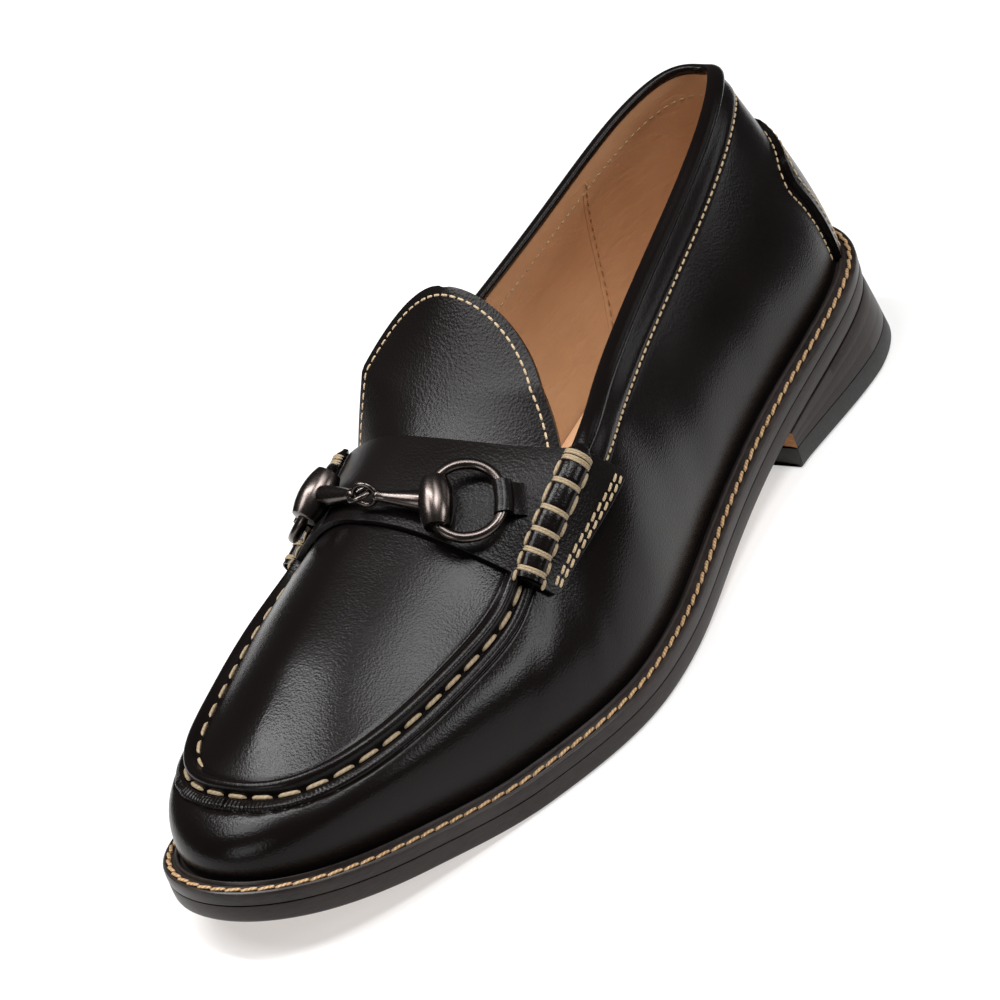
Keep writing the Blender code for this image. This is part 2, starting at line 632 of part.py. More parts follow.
def make_tongue():
    """Tongue: goes on from the apron under the strap and stands up behind it."""
    def side_points(column, side):
        passed = (column - APRON_LAST) / (STRAP_LAST - APRON_LAST)
        start, stop = TONGUE_EDGE_OUT if side > 0 else TONGUE_EDGE_IN
        angle = ANGLES[[side * column]]
        reach = np.linalg.norm((crown(angle) - top_edge(angle)[:, :3])[:, :2])
        share = (start + (stop - start) * passed) / reach
        return apron(angle, np.linspace(share, 1, TONGUE_HALF_POINTS))[0]

    root = instep_grid(APRON_LAST, STRAP_LAST, side_points)
    root[0, :, 0] -= TONGUE_BUTT
    last = root[-1]
    base = last[len(last) // 2]
    tip = np.array(TONGUE_TIP)
    across = np.linspace(1, -1, len(last))
    rows = list(root)
    half = np.where(across > 0, TONGUE_HALF[0], TONGUE_HALF[1])
    back = np.where(across > 0, TONGUE_EDGE_BACK[0], TONGUE_EDGE_BACK[1])
    for x in TONGUE_ROWS:
        centre = base + (tip - base) * np.array([x, x, TONGUE_EARLY_RISE * x + (1 - TONGUE_EARLY_RISE) * x * x])
        narrow = (1 - x ** TONGUE_ROUND) ** (1 / TONGUE_ROUND)
        free = np.stack([centre[0] - back * across ** 2 * narrow, centre[1] + half * narrow * across,
                         np.full(len(across), centre[2])], axis=-1)
        settle = min(1.0, x / TONGUE_ROWS[2])
        held = last - base + centre
        held[:, 1] = centre[1] + (last[:, 1] - base[1]) * narrow
        rows.append(free * settle + held * (1 - settle))
    grid = np.array(rows)
    plate_piece("tongue", grid, grid_normals(grid), -TONGUE_THICK, 0.0, "calf")


def make_counter():
    """Heel counter sewn over the back of the wall."""
    marks, reaches = np.array(COUNTER_EDGE).T
    edge = steady_curve(marks, reaches)
    across = np.linspace(-1, 1, COUNTER_ACROSS + 1)
    grid = np.array([wall(math.pi + edge(height) * across, [height])[:, 0]
                     for height in np.linspace(marks[0], marks[-1], COUNTER_ROWS + 1)])
    plate_piece("heel_counter", grid, grid_normals(grid), COUNTER_LIFT, COUNTER_LIFT + COUNTER_THICK, "calf")


def make_roll(half, grid, normals):
    """Rolled end of the strap: a fat cord of leather along the seam, sewn down on the strap."""
    seam = len(TAB_HEIGHTS) - 1
    column = seam if half == 0 else grid.shape[1] - 1 - seam
    line = grid[:, column] + normals[:, column] * (STRAP_LIFT + STRAP_THICK + GAP)
    up = normals[:, column]
    along = unit(np.gradient(line, axis=0))
    out = unit(np.cross(along, up))
    sizes = [ROLL_END] + [1.0] * (len(line) - 2) + [ROLL_END]
    turns = np.linspace(0, math.pi, ROLL_POINTS)
    rings = []
    for centre, u, o, size in zip(line, up, out, sizes):
        rings.append([centre + o * math.cos(a) * ROLL_WIDTH / 2 * size + u * math.sin(a) * ROLL_HEIGHT * size
                      for a in turns])
    rings = np.array(rings)
    count = len(turns)
    faces = grid_faces(len(rings), count, closed=True)
    faces += [tuple(range(count)), tuple(range(count * (len(rings) - 1), count * len(rings)))]
    add_piece(f"beef_roll_{BIT_SIDES[half]}", rings.reshape(-1, 3), faces, "calf")


# Bit and the leather keepers that hold it.

def on_strap(grid, normals, s, t):
    """Point on top of the strap at a place in plan, with its normal."""
    fine = 12
    rows, columns = grid.shape[:2]
    best = None
    for r in np.linspace(0, rows - 1, (rows - 1) * fine + 1):
        for c in np.linspace(0, columns - 1, (columns - 1) * fine + 1):
            i, j = min(int(r), rows - 2), min(int(c), columns - 2)
            u, v = r - i, c - j
            weights = ((1 - u) * (1 - v), (1 - u) * v, u * (1 - v), u * v)
            cells = ((i, j), (i, j + 1), (i + 1, j), (i + 1, j + 1))
            point = sum(w * grid[cell] for w, cell in zip(weights, cells))
            away = math.hypot(point[0] - s, point[1] - t)
            if best is None or away < best[0]:
                best = (away, point, unit(sum(w * normals[cell] for w, cell in zip(weights, cells))))
    return best[1] + best[2] * (STRAP_LIFT + STRAP_THICK), best[2]


def ring_tube(path, radius, sides):
    """Round wire bent to a flat closed path: points and faces."""
    path = np.asarray(path, float)
    along = unit(np.roll(path, -1, axis=0) - np.roll(path, 1, axis=0))
    third = len(path) // 3
    other = unit(np.cross(path[third] - path[0], path[2 * third] - path[0]))
    side = unit(np.cross(along, other))
    turns = np.arange(sides) * 2 * math.pi / sides
    rings = [c + radius * (np.cos(turns)[:, None] * a + np.sin(turns)[:, None] * other)
             for c, a in zip(path, side)]
    total = len(path) * sides
    faces = [tuple(i % total for i in face) for face in grid_faces(len(path) + 1, sides, closed=True)]
    return np.concatenate(rings), faces


def turned(start, finish, profile, sides):
    """Turned solid between two points: profile rows are the share of the way and the radius there."""
    start, finish = np.asarray(start, float), np.asarray(finish, float)
    along = unit(finish - start)
    side = unit(np.cross(along, (0.0, 0.0, 1.0)))
    other = np.cross(along, side)
    turns = np.arange(sides) * 2 * math.pi / sides
    rings = [start + (finish - start) * share
             + radius * (np.cos(turns)[:, None] * side + np.sin(turns)[:, None] * other)
             for share, radius in profile]
    faces = grid_faces(len(profile), sides, closed=True)
    total = len(profile) * sides
    faces += [tuple(range(sides)), tuple(range(total - sides, total))]
    return np.concatenate(rings), faces


def join_solids(name, solids, finish, place):
    """One solid from several that overlap, with its origin at a place."""
    pieces = [add_piece(f"{name}_{i}", *solid, finish, place) for i, solid in enumerate(solids)]
    whole = pieces[0]
    whole.name = name
    whole.data.name = name
    for other in pieces[1:]:
        join = whole.modifiers.new("join", "BOOLEAN")
        join.operation = "UNION"
        join.object = other
        other.hide_render = True
        other.display_type = "WIRE"


def bit_frame(half, grid, normals):
    """Where one half of the bit lies: its barrel's middle, its pivot in the keeper and its own directions."""
    seat, seat_up = on_strap(grid, normals, *BARREL_PLACES[half])
    hold, hold_up = on_strap(grid, normals, *KEEPER_PLACES[half])
    barrel = seat + seat_up * (BARREL_RADIUS + BARREL_CLEAR)
    pivot = hold + hold_up * (RING_WIRE + RING_CLEAR)
    out = unit(pivot - barrel)
    up = unit(seat_up + hold_up - out * np.dot(seat_up + hold_up, out))
    forward = unit(np.cross(out, up)) if half == 0 else unit(np.cross(up, out))
    return barrel, pivot, out, forward, hold_up


def make_bit(half, grid, normals):
    """One cast half of the bit: ring, barrel, bar and eye, with its origin where it swings in its keeper."""
    middle, pivot, out, forward, hold_up = bit_frame(half, grid, normals)
    reach = np.linalg.norm(pivot - middle)
    arc = np.linspace(-math.pi / 2, math.pi / 2, RING_STEPS + 1)[1:-1]
    path = [forward * RING_HALF_HEIGHT * math.sin(a) + out * reach * math.cos(a) ** RING_ROUND for a in arc]
    path += [forward * RING_HALF_HEIGHT * share + out * back for share, back in RING_BACK]
    ring = ring_tube(middle + np.array(path), RING_WIRE, RING_SIDES)

    end = forward * BARREL_LENGTH / 2
    barrel_rows = ((0.0, BARREL_NECK), (0.15, BARREL_RADIUS * 0.86), (0.35, BARREL_RADIUS),
                   (0.65, BARREL_RADIUS), (0.85, BARREL_RADIUS * 0.86), (1.0, BARREL_NECK))
    barrel = turned(middle - end, middle + end, barrel_rows, BARREL_SIDES)

    inward = unit(np.array(BIT_LINK) - middle)
    eye_middle = np.array(BIT_LINK) - inward * EYE_OFFSET
    bar_rows = ((0.0, BAR_RADIUS_OUT), (0.35, BAR_RADIUS_OUT * 0.95),
                (0.75, BAR_RADIUS_IN), (1.0, BAR_RADIUS_IN * 0.9))
    bar = turned(middle, eye_middle - inward * EYE_RADIUS, bar_rows, BAR_SIDES)
    upright = unit(np.array([0.0, 0.0, 1.0]) - inward * inward[2])
    lean = upright if half == 0 else np.cross(inward, upright)
    turns = np.arange(RING_STEPS) * 2 * math.pi / RING_STEPS
    eye_path = [eye_middle + EYE_RADIUS * (math.cos(a) * inward + math.sin(a) * lean) for a in turns]
    eye = ring_tube(eye_path, EYE_WIRE, RING_SIDES)
    join_solids(f"bit_{BIT_SIDES[half]}", [ring, barrel, bar, eye], "gunmetal", pivot)

    flat_out = unit(out - hold_up * np.dot(out, hold_up))
    flat_forward = unit(forward - hold_up * np.dot(forward, hold_up))
    make_keeper(f"ring_keeper_{BIT_SIDES[half]}", pivot, flat_forward, flat_out, hold_up)


def make_keeper(name, pivot, forward, out, up):
    """Leather loop on the strap that the ring runs through."""
    drop = RING_WIRE + RING_CLEAR - KEEPER_CLEAR
    turns = np.arange(RING_STEPS) * 2 * math.pi / RING_STEPS
    outer, inner = [], []
    for a in turns:
        outer.append((KEEPER_HALF * math.cos(a), max(KEEPER_RISE * math.sin(a), -drop)))
        inner.append((TUNNEL_HALF * math.cos(a), TUNNEL_RADIUS * math.sin(a)))
    rings = []
    for profile, end in ((outer, -1), (outer, 1), (inner, 1), (inner, -1)):
        rings.append([pivot + forward * end * KEEPER_LENGTH / 2 + out * (x - KEEPER_INWARD) + up * y
                      for x, y in profile])
    count = len(turns)
    total = count * 4
    faces = [tuple(i % total for i in face) for face in grid_faces(5, count, closed=True)]
    add_piece(name, np.concatenate(rings), faces, "calf")


def main():
    """Clear the scene and build every piece of the shoe."""
    for old in list(bpy.data.objects):
        bpy.data.objects.remove(old, do_unlink=True)
    make_outsole()
    make_welt()
    make_heel()
    make_insole()
    make_upper()
    make_tongue()
    make_counter()
    grid, normals = make_strap()
    for half in range(len(BIT_SIDES)):
        make_roll(half, grid, normals)
        make_bit(half, grid, normals)


main()
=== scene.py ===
"""Looks of a left-foot bit loafer in black calf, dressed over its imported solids.

Shoe coordinates are in millimetres: s runs from the back of the welt to the toe, t is across the foot with
the outer (lateral) side positive, z is up from the floor.  A turn is the angle round the shoe, 0 at the toe,
pi at the heel, and the inner side has the turns above pi.
"""
import math

import bmesh
import bpy
import numpy as np
from mathutils import Matrix, Vector


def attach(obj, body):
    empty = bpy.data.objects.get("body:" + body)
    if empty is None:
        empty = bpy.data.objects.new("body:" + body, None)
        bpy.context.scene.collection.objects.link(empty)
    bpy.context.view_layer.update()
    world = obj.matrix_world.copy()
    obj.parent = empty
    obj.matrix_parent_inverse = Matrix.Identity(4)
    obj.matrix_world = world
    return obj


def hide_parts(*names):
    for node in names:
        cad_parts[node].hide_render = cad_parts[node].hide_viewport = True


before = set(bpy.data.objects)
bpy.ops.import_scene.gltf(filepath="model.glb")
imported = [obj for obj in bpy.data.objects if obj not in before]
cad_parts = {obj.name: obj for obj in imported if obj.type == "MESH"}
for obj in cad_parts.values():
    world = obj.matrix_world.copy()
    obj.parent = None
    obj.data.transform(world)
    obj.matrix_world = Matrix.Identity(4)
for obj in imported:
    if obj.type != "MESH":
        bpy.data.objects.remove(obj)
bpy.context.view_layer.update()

# Outsole
# One piece of oak-bark tanned sole leather, cut to the last and moulded to its arch and toe spring.
# Its edge is dyed black and waxed, its tread is left natural.
MM = 0.001
GAP = 0.3
LENGTH = 300.0
TOE_SHIFT = -3.5
ORIGIN_S = 148.65
ORIGIN_T = 2.737
OUTSOLE_THICK = 5.2
SOLE_COLUMNS = 360
SHARP_ANGLE = 38.0

# Welt outline: distance from the heel, half width on the outer side, half width on the inner side.
OUTLINE = (
    (286.0, 23.3, 30.0),
    (262.0, 35.5, 40.0),
    (230.0, 46.6, 48.4),
    (190.0, 55.6, 48.5),
    (150.0, 50.0, 38.2),
    (110.0, 40.2, 33.2),
    (70.0, 34.9, 34.0),
    (35.0, 31.8, 31.6),
    (12.0, 23.6, 22.9),
)

# Underside of the sole: distance from the heel, height above the floor.
SOLE_RISE = (
    (-10.0, 22.2),
    (0.0, 20.8),
    (35.0, 17.2),
    (70.0, 12.5),
    (120.0, 4.9),
    (160.0, 0.5),
    (190.0, 0.0),
    (226.0, 0.0),
    (262.0, 4.6),
    (300.0, 12.4),
    (310.0, 14.8),
)

# Edge of the outsole from its tread up: inset from the outline, height.
OUTSOLE_EDGE = ((1.5, 0.0), (0.85, 0.12), (0.45, 0.45), (0.28, 1.0), (0.15, 2.6), (0.14, 5.0),
                (0.18, 5.12), (0.3, 5.2))


def unit(vectors):
    """Vectors scaled to length one."""
    vectors = np.asarray(vectors, float)
    return vectors / np.linalg.norm(vectors, axis=-1, keepdims=True)


def ease(value, start, stop):
    """Smooth step from 0 at start to 1 at stop."""
    share = np.clip((np.asarray(value, float) - start) / (stop - start), 0, 1)
    return share * share * (3 - 2 * share)


def swell(value, middle, width):
    """Bell of height 1 about a middle."""
    return np.exp(-((np.asarray(value, float) - middle) / width) ** 2)


def closed_spline(knots, values, period):
    """Closed cubic curve through rows of values at the given knots."""
    knots, values = np.asarray(knots, float), np.asarray(values, float)
    count = len(knots)
    step = np.diff(np.append(knots, knots[0] + period))
    slope = (np.roll(values, -1, axis=0) - values) / step[:, None]
    matrix = np.zeros((count, count))
    for i in range(count):
        matrix[i, i - 1] += step[i - 1]
        matrix[i, i] += 2 * (step[i - 1] + step[i])
        matrix[i, (i + 1) % count] += step[i]
    bend = np.linalg.solve(matrix, 6 * (slope - np.roll(slope, 1, axis=0)))

    def at(place):
        place = (np.asarray(place, float) - knots[0]) % period + knots[0]
        i = np.clip(np.searchsorted(knots, place, side="right") - 1, 0, count - 1)
        j = (i + 1) % count
        width = step[i][:, None]
        right = (place - knots[i])[:, None]
        left = width - right
        return ((bend[i] * left ** 3 + bend[j] * right ** 3) / (6 * width)
                + (values[i] / width - bend[i] * width / 6) * left
                + (values[j] / width - bend[j] * width / 6) * right)

    return at


def steady_curve(places, values):
    """Curve through points that keeps flat stretches flat and never overshoots."""
    places, values = np.asarray(places, float), np.asarray(values, float)
    step = np.diff(places)
    slope = np.diff(values) / step
    tangent = np.concatenate(([slope[0]], np.zeros(len(step) - 1), [slope[-1]]))
    for i in range(1, len(step)):
        if slope[i - 1] * slope[i] > 0:
            tangent[i] = 2 * slope[i - 1] * slope[i] / (slope[i - 1] + slope[i])

    def at(place):
        place = np.asarray(place, float)
        i = np.clip(np.searchsorted(places, place, side="right") - 1, 0, len(step) - 1)
        u = (place - places[i]) / step[i]
        return (values[i] * (1 + 2 * u) * (1 - u) ** 2 + values[i + 1] * u * u * (3 - 2 * u)
                + step[i] * (tangent[i] * u * (1 - u) ** 2 - tangent[i + 1] * u * u * (1 - u)))

    return at


def station_turn(station):
    """Turn of a distance from the heel on the outer side."""
    return np.arccos(np.clip(2 * np.asarray(station, float) / LENGTH - 1, -1, 1))


outline_turns = [0.0] + [float(station_turn(row[0])) for row in OUTLINE] + [math.pi]
outline_turns += [2 * math.pi - float(station_turn(row[0])) for row in reversed(OUTLINE)]
outline_widths = [TOE_SHIFT] + [row[1] for row in OUTLINE] + [0.0] + [-row[2] for row in reversed(OUTLINE)]
outline_width = closed_spline(outline_turns, np.array(outline_widths)[:, None], 2 * math.pi)
sole_rise = steady_curve([row[0] for row in SOLE_RISE], [row[1] for row in SOLE_RISE])


def outline(turns):
    """Welt edge as s, t and its outward normal."""
    def place(a):
        return np.stack([LENGTH / 2 * (1 + np.cos(a)), outline_width(a)[:, 0]], axis=-1)

    turns = np.asarray(turns, float)
    nudge = 1e-4
    along = unit(place(turns + nudge) - place(turns - nudge))
    return place(turns), np.stack([along[:, 1], -along[:, 0]], axis=-1)


def sole_loop(turns, inset, lift):
    """Ring of points inside the welt edge, a height above the underside of the sole."""
    edge, normal = outline(turns)
    plan = edge - normal * inset
    return np.column_stack([plan, sole_rise(plan[:, 0]) + lift])


def to_world(points):
    """Shoe millimetres to world metres."""
    points = np.asarray(points, float)
    return np.stack([points[..., 1] - ORIGIN_T, ORIGIN_S - points[..., 0], points[..., 2]], axis=-1) * MM


def grid_faces(rows, columns, closed=False):
    """Quads of a grid of points stored row by row; closed joins the last column to the first."""
    quads_across = columns if closed else columns - 1
    row, column = np.meshgrid(np.arange(rows - 1), np.arange(quads_across), indexing="ij")
    beside = (column + 1) % columns
    quads = np.stack([row * columns + column, row * columns + beside,
                      (row + 1) * columns + beside, (row + 1) * columns + column], axis=-1)
    return quads.reshape(-1, 4).tolist()


def lid_faces(count, start):
    """Faces that close a ring by rungs from one side of the shoe to the other."""
    pairs = [(start + k, start + count - k) for k in range(1, count // 2)]
    faces = [(start, start + 1, start + count - 1), (pairs[-1][0], start + count // 2, pairs[-1][1])]
    return faces + [(a, c, d, b) for (a, b), (c, d) in zip(pairs[:-1], pairs[1:])]


def add_piece(name, points, faces, finishes, slot, body="shoe", which=None):
    """Piece from shoe points and faces that rides on a body; which gives each face's finish."""
    mesh = bpy.data.meshes.new(name)
    mesh.from_pydata(to_world(points).tolist(), [], faces)
    for finish in finishes:
        mesh.materials.append(finish)
    if which is not None:
        mesh.polygons.foreach_set("material_index", which)
    work = bmesh.new()
    work.from_mesh(mesh)
    bmesh.ops.recalc_face_normals(work, faces=work.faces[:])
    work.to_mesh(mesh)
    work.free()
    mesh.shade_smooth()
    mesh.set_sharp_from_angle(angle=math.radians(SHARP_ANGLE))
    piece = bpy.data.objects.new(name, mesh)
    bpy.context.scene.collection.objects.link(piece)
    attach(piece, body)
    return piece


def linear(code):
    """Linear colour of an sRGB hex code."""
    shares = [int(code[i:i + 2], 16) / 255 for i in (1, 3, 5)]
    return [c / 12.92 if c <= 0.04045 else ((c + 0.055) / 1.055) ** 2.4 for c in shares] + [1.0]


def set_inputs(material, node, inputs):
    """Each input takes a value or another node's output."""
    for name, value in inputs.items():
        if isinstance(value, bpy.types.NodeSocket):
            material.node_tree.links.new(value, node.inputs[name])
        else:
            node.inputs[name].default_value = value


def add_node(material, kind, inputs, **settings):
    """Node with its settings and inputs."""
    node = material.node_tree.nodes.new(kind)
    for name, value in settings.items():
        setattr(node, name, value)
    set_inputs(material, node, inputs)
    return node


def start_material(name):
    """Empty material with its Object coordinates."""
    material = bpy.data.materials.new(name)
    material.use_nodes = True
    return material, add_node(material, "ShaderNodeTexCoord", {}).outputs["Object"]


def set_shader(material, inputs):
    """Values and links of the material's Principled shader."""
    set_inputs(material, material.node_tree.nodes["Principled BSDF"], inputs)
    return material


def edge_dressed_leather(name, light, dark, roughness, fibre_mm, layer_stretch):
    """Sole leather cut across and inked: its fibres lie flat, so streaks run level; burnished and dull."""
    material, place = start_material(name)
    level = add_node(material, "ShaderNodeMapping", {"Vector": place, "Scale": (1, 1, layer_stretch)})
    streak = add_node(material, "ShaderNodeTexNoise",
                      {"Vector": level.outputs["Vector"], "Scale": 1 / (fibre_mm * MM), "Detail": 5.0})
    cloud = add_node(material, "ShaderNodeTexNoise", {"Vector": place, "Scale": 1 / (18 * MM), "Detail": 3.0})
    both = add_node(material, "ShaderNodeMath", {0: streak.outputs["Fac"], 1: cloud.outputs["Fac"]},
                    operation="ADD")
    share = add_node(material, "ShaderNodeMapRange",
                     {"Value": both.outputs[0], "From Min": 0.75, "From Max": 1.25})
    colour = add_node(material, "ShaderNodeMix",
                      {"Factor": share.outputs["Result"], 6: linear(dark), 7: linear(light)},
                      data_type="RGBA")
    gloss = add_node(material, "ShaderNodeMapRange",
                     {"Value": cloud.outputs["Fac"], "From Min": 0.3, "From Max": 0.7,
                      "To Min": roughness - 0.06, "To Max": roughness + 0.08})
    bump = add_node(material, "ShaderNodeBump",
                    {"Strength": 0.25, "Distance": 0.15 * MM, "Height": streak.outputs["Fac"]})
    return set_shader(material, {"Base Color": colour.outputs[2], "Roughness": gloss.outputs["Result"],
                                 "Normal": bump.outputs["Normal"], "Specular IOR Level": 0.22})


sole_edge_finish = edge_dressed_leather("inked_sole_edge", "#2b2523", "#201b19", roughness=0.42,
                                        fibre_mm=3.0, layer_stretch=5.0)
tread_finish = edge_dressed_leather("natural_sole_leather", "#a88a6c", "#8a6b4e", roughness=0.62,
                                    fibre_mm=2.0, layer_stretch=1.0)

sole_turns = np.arange(SOLE_COLUMNS) * 2 * math.pi / SOLE_COLUMNS
rings = [sole_loop(sole_turns, inset, height) for inset, height in OUTSOLE_EDGE]
faces = grid_faces(len(rings), SOLE_COLUMNS, closed=True)
tread = lid_faces(SOLE_COLUMNS, 0)
lid = lid_faces(SOLE_COLUMNS, SOLE_COLUMNS * (len(rings) - 1))
outsole = add_piece("leather_outsole", np.concatenate(rings), faces + tread + lid,
                    [sole_edge_finish, tread_finish], "sole_leather",
                    which=[0] * len(faces) + [1] * len(tread) + [0] * len(lid))
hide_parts("outsole")

# Welt
# A strip of leather sewn round the feather edge, with a thin bead standing up against the upper and an open
# channel near its edge where the lockstitch lies.
WELT_THICK = 4.0
WELT_WIDTH = 8.2
WELT_BASE = OUTSOLE_THICK + GAP
STITCH_INSET = 1.9

# Section of the welt: inset from the outline, height above its underside.
WELT_SECTION = (
    (0.3, 0.0), (0.14, 0.12), (0.06, 1.4), (0.1, 3.1), (0.32, 3.65), (0.75, 3.95),
    (1.05, 3.9), (1.3, 3.55), (1.9, 3.4), (2.5, 3.55), (2.8, 3.9), (3.2, 4.0),
    (3.5, 4.15), (3.65, 4.7), (3.85, 5.15), (4.15, 5.3), (4.45, 5.15), (4.65, 4.7), (4.8, 4.15),
    (5.2, 4.0), (WELT_WIDTH, WELT_THICK), (WELT_WIDTH, 0.0),
)


def hoop_faces(rows, columns):
    """Quads of a row of rings of which the last joins the first."""
    count = rows * columns
    return [[i % count for i in face] for face in grid_faces(rows + 1, columns, closed=True)]


rings = [sole_loop(sole_turns, inset, WELT_BASE + height) for inset, height in WELT_SECTION]
faces = hoop_faces(len(rings), SOLE_COLUMNS)
welt_finish = edge_dressed_leather("inked_welt", "#2c2624", "#1b1716", roughness=0.34,
                                   fibre_mm=3.0, layer_stretch=5.0)
welt = add_piece("stitched_welt", np.concatenate(rings), faces, [welt_finish], "welt_leather")
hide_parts("welt")

# Welt lockstitch
# Thick waxed linen thread, two plies twisted, in long stitches that slant a little and dive into the channel
# where they lock.  The same functions sew every other seam.
STITCH_RINGS = 11
STITCH_SIDES = 10
PLY_LAY = 5.0
CHANNEL_BED = 0.25


def linen_thread(name, light, dark, ply_shade, fibre_bump):
    """Waxed linen thread: two plies twisted, with painted shade and bumps in slanting bands along them; dull
    from wax.
    """
    material, place = start_material(name)
    twist = add_node(material, "ShaderNodeAttribute", {}, attribute_name="twist")
    turns = add_node(material, "ShaderNodeMath", {0: twist.outputs["Fac"], 1: 4 * math.pi},
                     operation="MULTIPLY")
    ply = add_node(material, "ShaderNodeMath", {0: turns.outputs[0]}, operation="SINE")
    fibre = add_node(material, "ShaderNodeTexNoise",
                     {"Vector": place, "Scale": 1 / (0.5 * MM), "Detail": 4.0})
    # Painted shade: the colour darkens between the plies in slanting bands, over the fibre noise's own tone.
    both = add_node(material, "ShaderNodeMath", {0: ply.outputs[0], 1: ply_shade, 2: fibre.outputs["Fac"]},
                    operation="MULTIPLY_ADD")
    share = add_node(material, "ShaderNodeMapRange",
                     {"Value": both.outputs[0], "From Min": 0.2, "From Max": 0.75})
    colour = add_node(material, "ShaderNodeMix",
                      {"Factor": share.outputs["Result"], 6: linear(dark), 7: linear(light)},
                      data_type="RGBA")
    bump = add_node(material, "ShaderNodeBump",
                    {"Strength": fibre_bump, "Distance": 0.2 * MM, "Height": both.outputs[0]})
    return set_shader(material, {"Base Color": colour.outputs[2], "Roughness": 0.62,
                                 "Normal": bump.outputs["Normal"]})


def capped_faces(rows, columns):
    """Faces of a row of rings, with a lid on the first and the last."""
    last = columns * (rows - 1)
    return grid_faces(rows, columns, closed=True) + [list(range(columns)), list(range(last, last + columns))]


def lengths_along(path):
    """Length of a path up to each of its points."""
    return np.concatenate([[0], np.cumsum(np.linalg.norm(np.diff(path, axis=0), axis=1))])


def between(places, knots, rows):
    """Rows of three values, read at places between their knots."""
    return np.stack([np.interp(places, knots, column) for column in np.transpose(rows)], axis=-1)


def strand(centre, ups, radius, flat, blunt=7.0):
    """One thread along a line of points: its points, faces and twist, thinner towards both ends."""
    centre = np.asarray(centre, float)
    count = len(centre)
    u = np.linspace(-1, 1, count)
    ahead = unit(np.gradient(centre, axis=0))
    side = unit(np.cross(ups, ahead))
    up = np.cross(ahead, side)
    full = np.clip(1.02 - np.abs(u) ** blunt, 0.02, 1) ** 0.6
    turn = np.arange(STITCH_SIDES) * 2 * math.pi / STITCH_SIDES - math.pi / 2
    points = (centre[:, None] + side[:, None] * (np.cos(turn) * radius)[None, :, None] * full[:, None, None]
              + up[:, None] * (np.sin(turn) * radius * flat)[None, :, None] * full[:, None, None])
    twist = lengths_along(centre)[:, None] / (PLY_LAY * radius) + np.arange(STITCH_SIDES)[None] / STITCH_SIDES
    return points.reshape(-1, 3), capped_faces(count, STITCH_SIDES), twist.ravel()


def mark_points(piece, name, values):
    """One value at each point of a piece, for its finish."""
    attribute = piece.data.attributes.new(name, "FLOAT", "POINT")
    attribute.data.foreach_set("value", np.asarray(values, np.float32))


def add_threads(name, strands, finish):
    """All the threads of one seam as a single piece."""
    points, faces, twists, start = [], [], [], 0
    for part, quads, twist in strands:
        points.append(part)
        twists.append(twist)
        faces += [[i + start for i in face] for face in quads]
        start += len(part)
    piece = add_piece(name, np.concatenate(points), faces, [finish], "waxed_thread")
    mark_points(piece, "twist", np.concatenate(twists))


def stitches(path, ups, pitch, length, radius, flat=0.75, slant=0.0, sink=1.6, blunt=7.0):
    """Row of stitches along a path; each rises out of the leather, lies along it and goes back in."""
    path, ups = np.asarray(path, float), np.asarray(ups, float)
    along = lengths_along(path)
    count = max(1, int(round(along[-1] / pitch)))
    step = along[-1] / count
    u = np.linspace(-1, 1, STITCH_RINGS)
    row = []
    for i in range(count):
        places = (i + 0.5) * step + u * length * step / pitch / 2
        centre = between(places, along, path)
        up = unit(between(places, along, ups))
        side = unit(np.cross(up, np.gradient(centre, axis=0)))
        lift = radius * flat * (0.75 - sink * np.abs(u) ** 5)
        row.append(strand(centre + up * lift[:, None] + side * (slant * u)[:, None], up, radius, flat, blunt))
    return row


welt_thread = linen_thread("welt_linen", "#b99a72", "#7b5834", ply_shade=0.2, fibre_bump=0.6)
turns = np.linspace(0, 2 * math.pi, 4 * SOLE_COLUMNS + 1)
path = sole_loop(turns, STITCH_INSET, WELT_BASE + WELT_THICK - CHANNEL_BED)
ups = np.tile((0.0, 0.0, 1.0), (len(path), 1))
lockstitch = stitches(path, ups, pitch=4.4, length=4.6, radius=0.5, flat=0.85, slant=0.38, sink=1.1)
add_threads("welt_lockstitch", lockstitch, welt_thread)

# Heel
# Three lifts of leather glued, trimmed together with a slight flare and inked, left raw at the breast, over a
# rubber top piece that takes the wear.
LIFT_THICK = 6.0
HEEL_BREAST = 77.0
HEEL_FLARE = 3.0
HEEL_FADE = 1.6
HEEL_LEAST_FLARE = 0.1
HEEL_POINTS = 121
BREAST_POINTS = 25
BREAST_HOLLOW = 1.6

# Side of the heel from the top piece up: share of the way, how far in it is trimmed there, with a groove
# between lifts.
HEEL_SIDE = ((0.0, 0.15), (0.015, 0.03), (0.31, 0.0), (0.33, 0.03), (0.35, 0.0),
             (0.64, 0.0), (0.66, 0.03), (0.68, 0.0), (0.985, 0.03), (1.0, 0.15))
TOP_PIECE_SIDE = ((0.0, 1.0), (0.06, 0.35), (0.16, 0.0), (0.96, 0.0), (1.0, 0.15))


def heel_ring(flare, height, trim):
    """Heel outline with its hollow breast, at a height or, with none, just under the sole."""
    start = float(station_turn(HEEL_BREAST))
    turns = np.linspace(start, 2 * math.pi - start, HEEL_POINTS)
    edge, normal = outline(turns)
    fade = np.clip((1 - edge[:, 0] / HEEL_BREAST) * HEEL_FADE, HEEL_LEAST_FLARE, 1.0)
    plan = edge + normal * (flare * fade - GAP - trim)[:, None]
    across = np.linspace(0, 1, BREAST_POINTS)[1:-1, None]
    breast = plan[-1] * (1 - across) + plan[0] * across
    breast[:, 0] -= BREAST_HOLLOW * 4 * (across * (1 - across))[:, 0] + trim
    plan = np.concatenate([plan, breast])
    z = sole_rise(np.minimum(plan[:, 0], HEEL_BREAST)) - GAP if height is None else np.full(len(plan), height)
    return np.column_stack([plan, z])


def stack_rings(low, high, side):
    """Rings between two outlines, trimmed as the side's table says."""
    return [low(trim) * (1 - share) + high(trim) * share for share, trim in side]


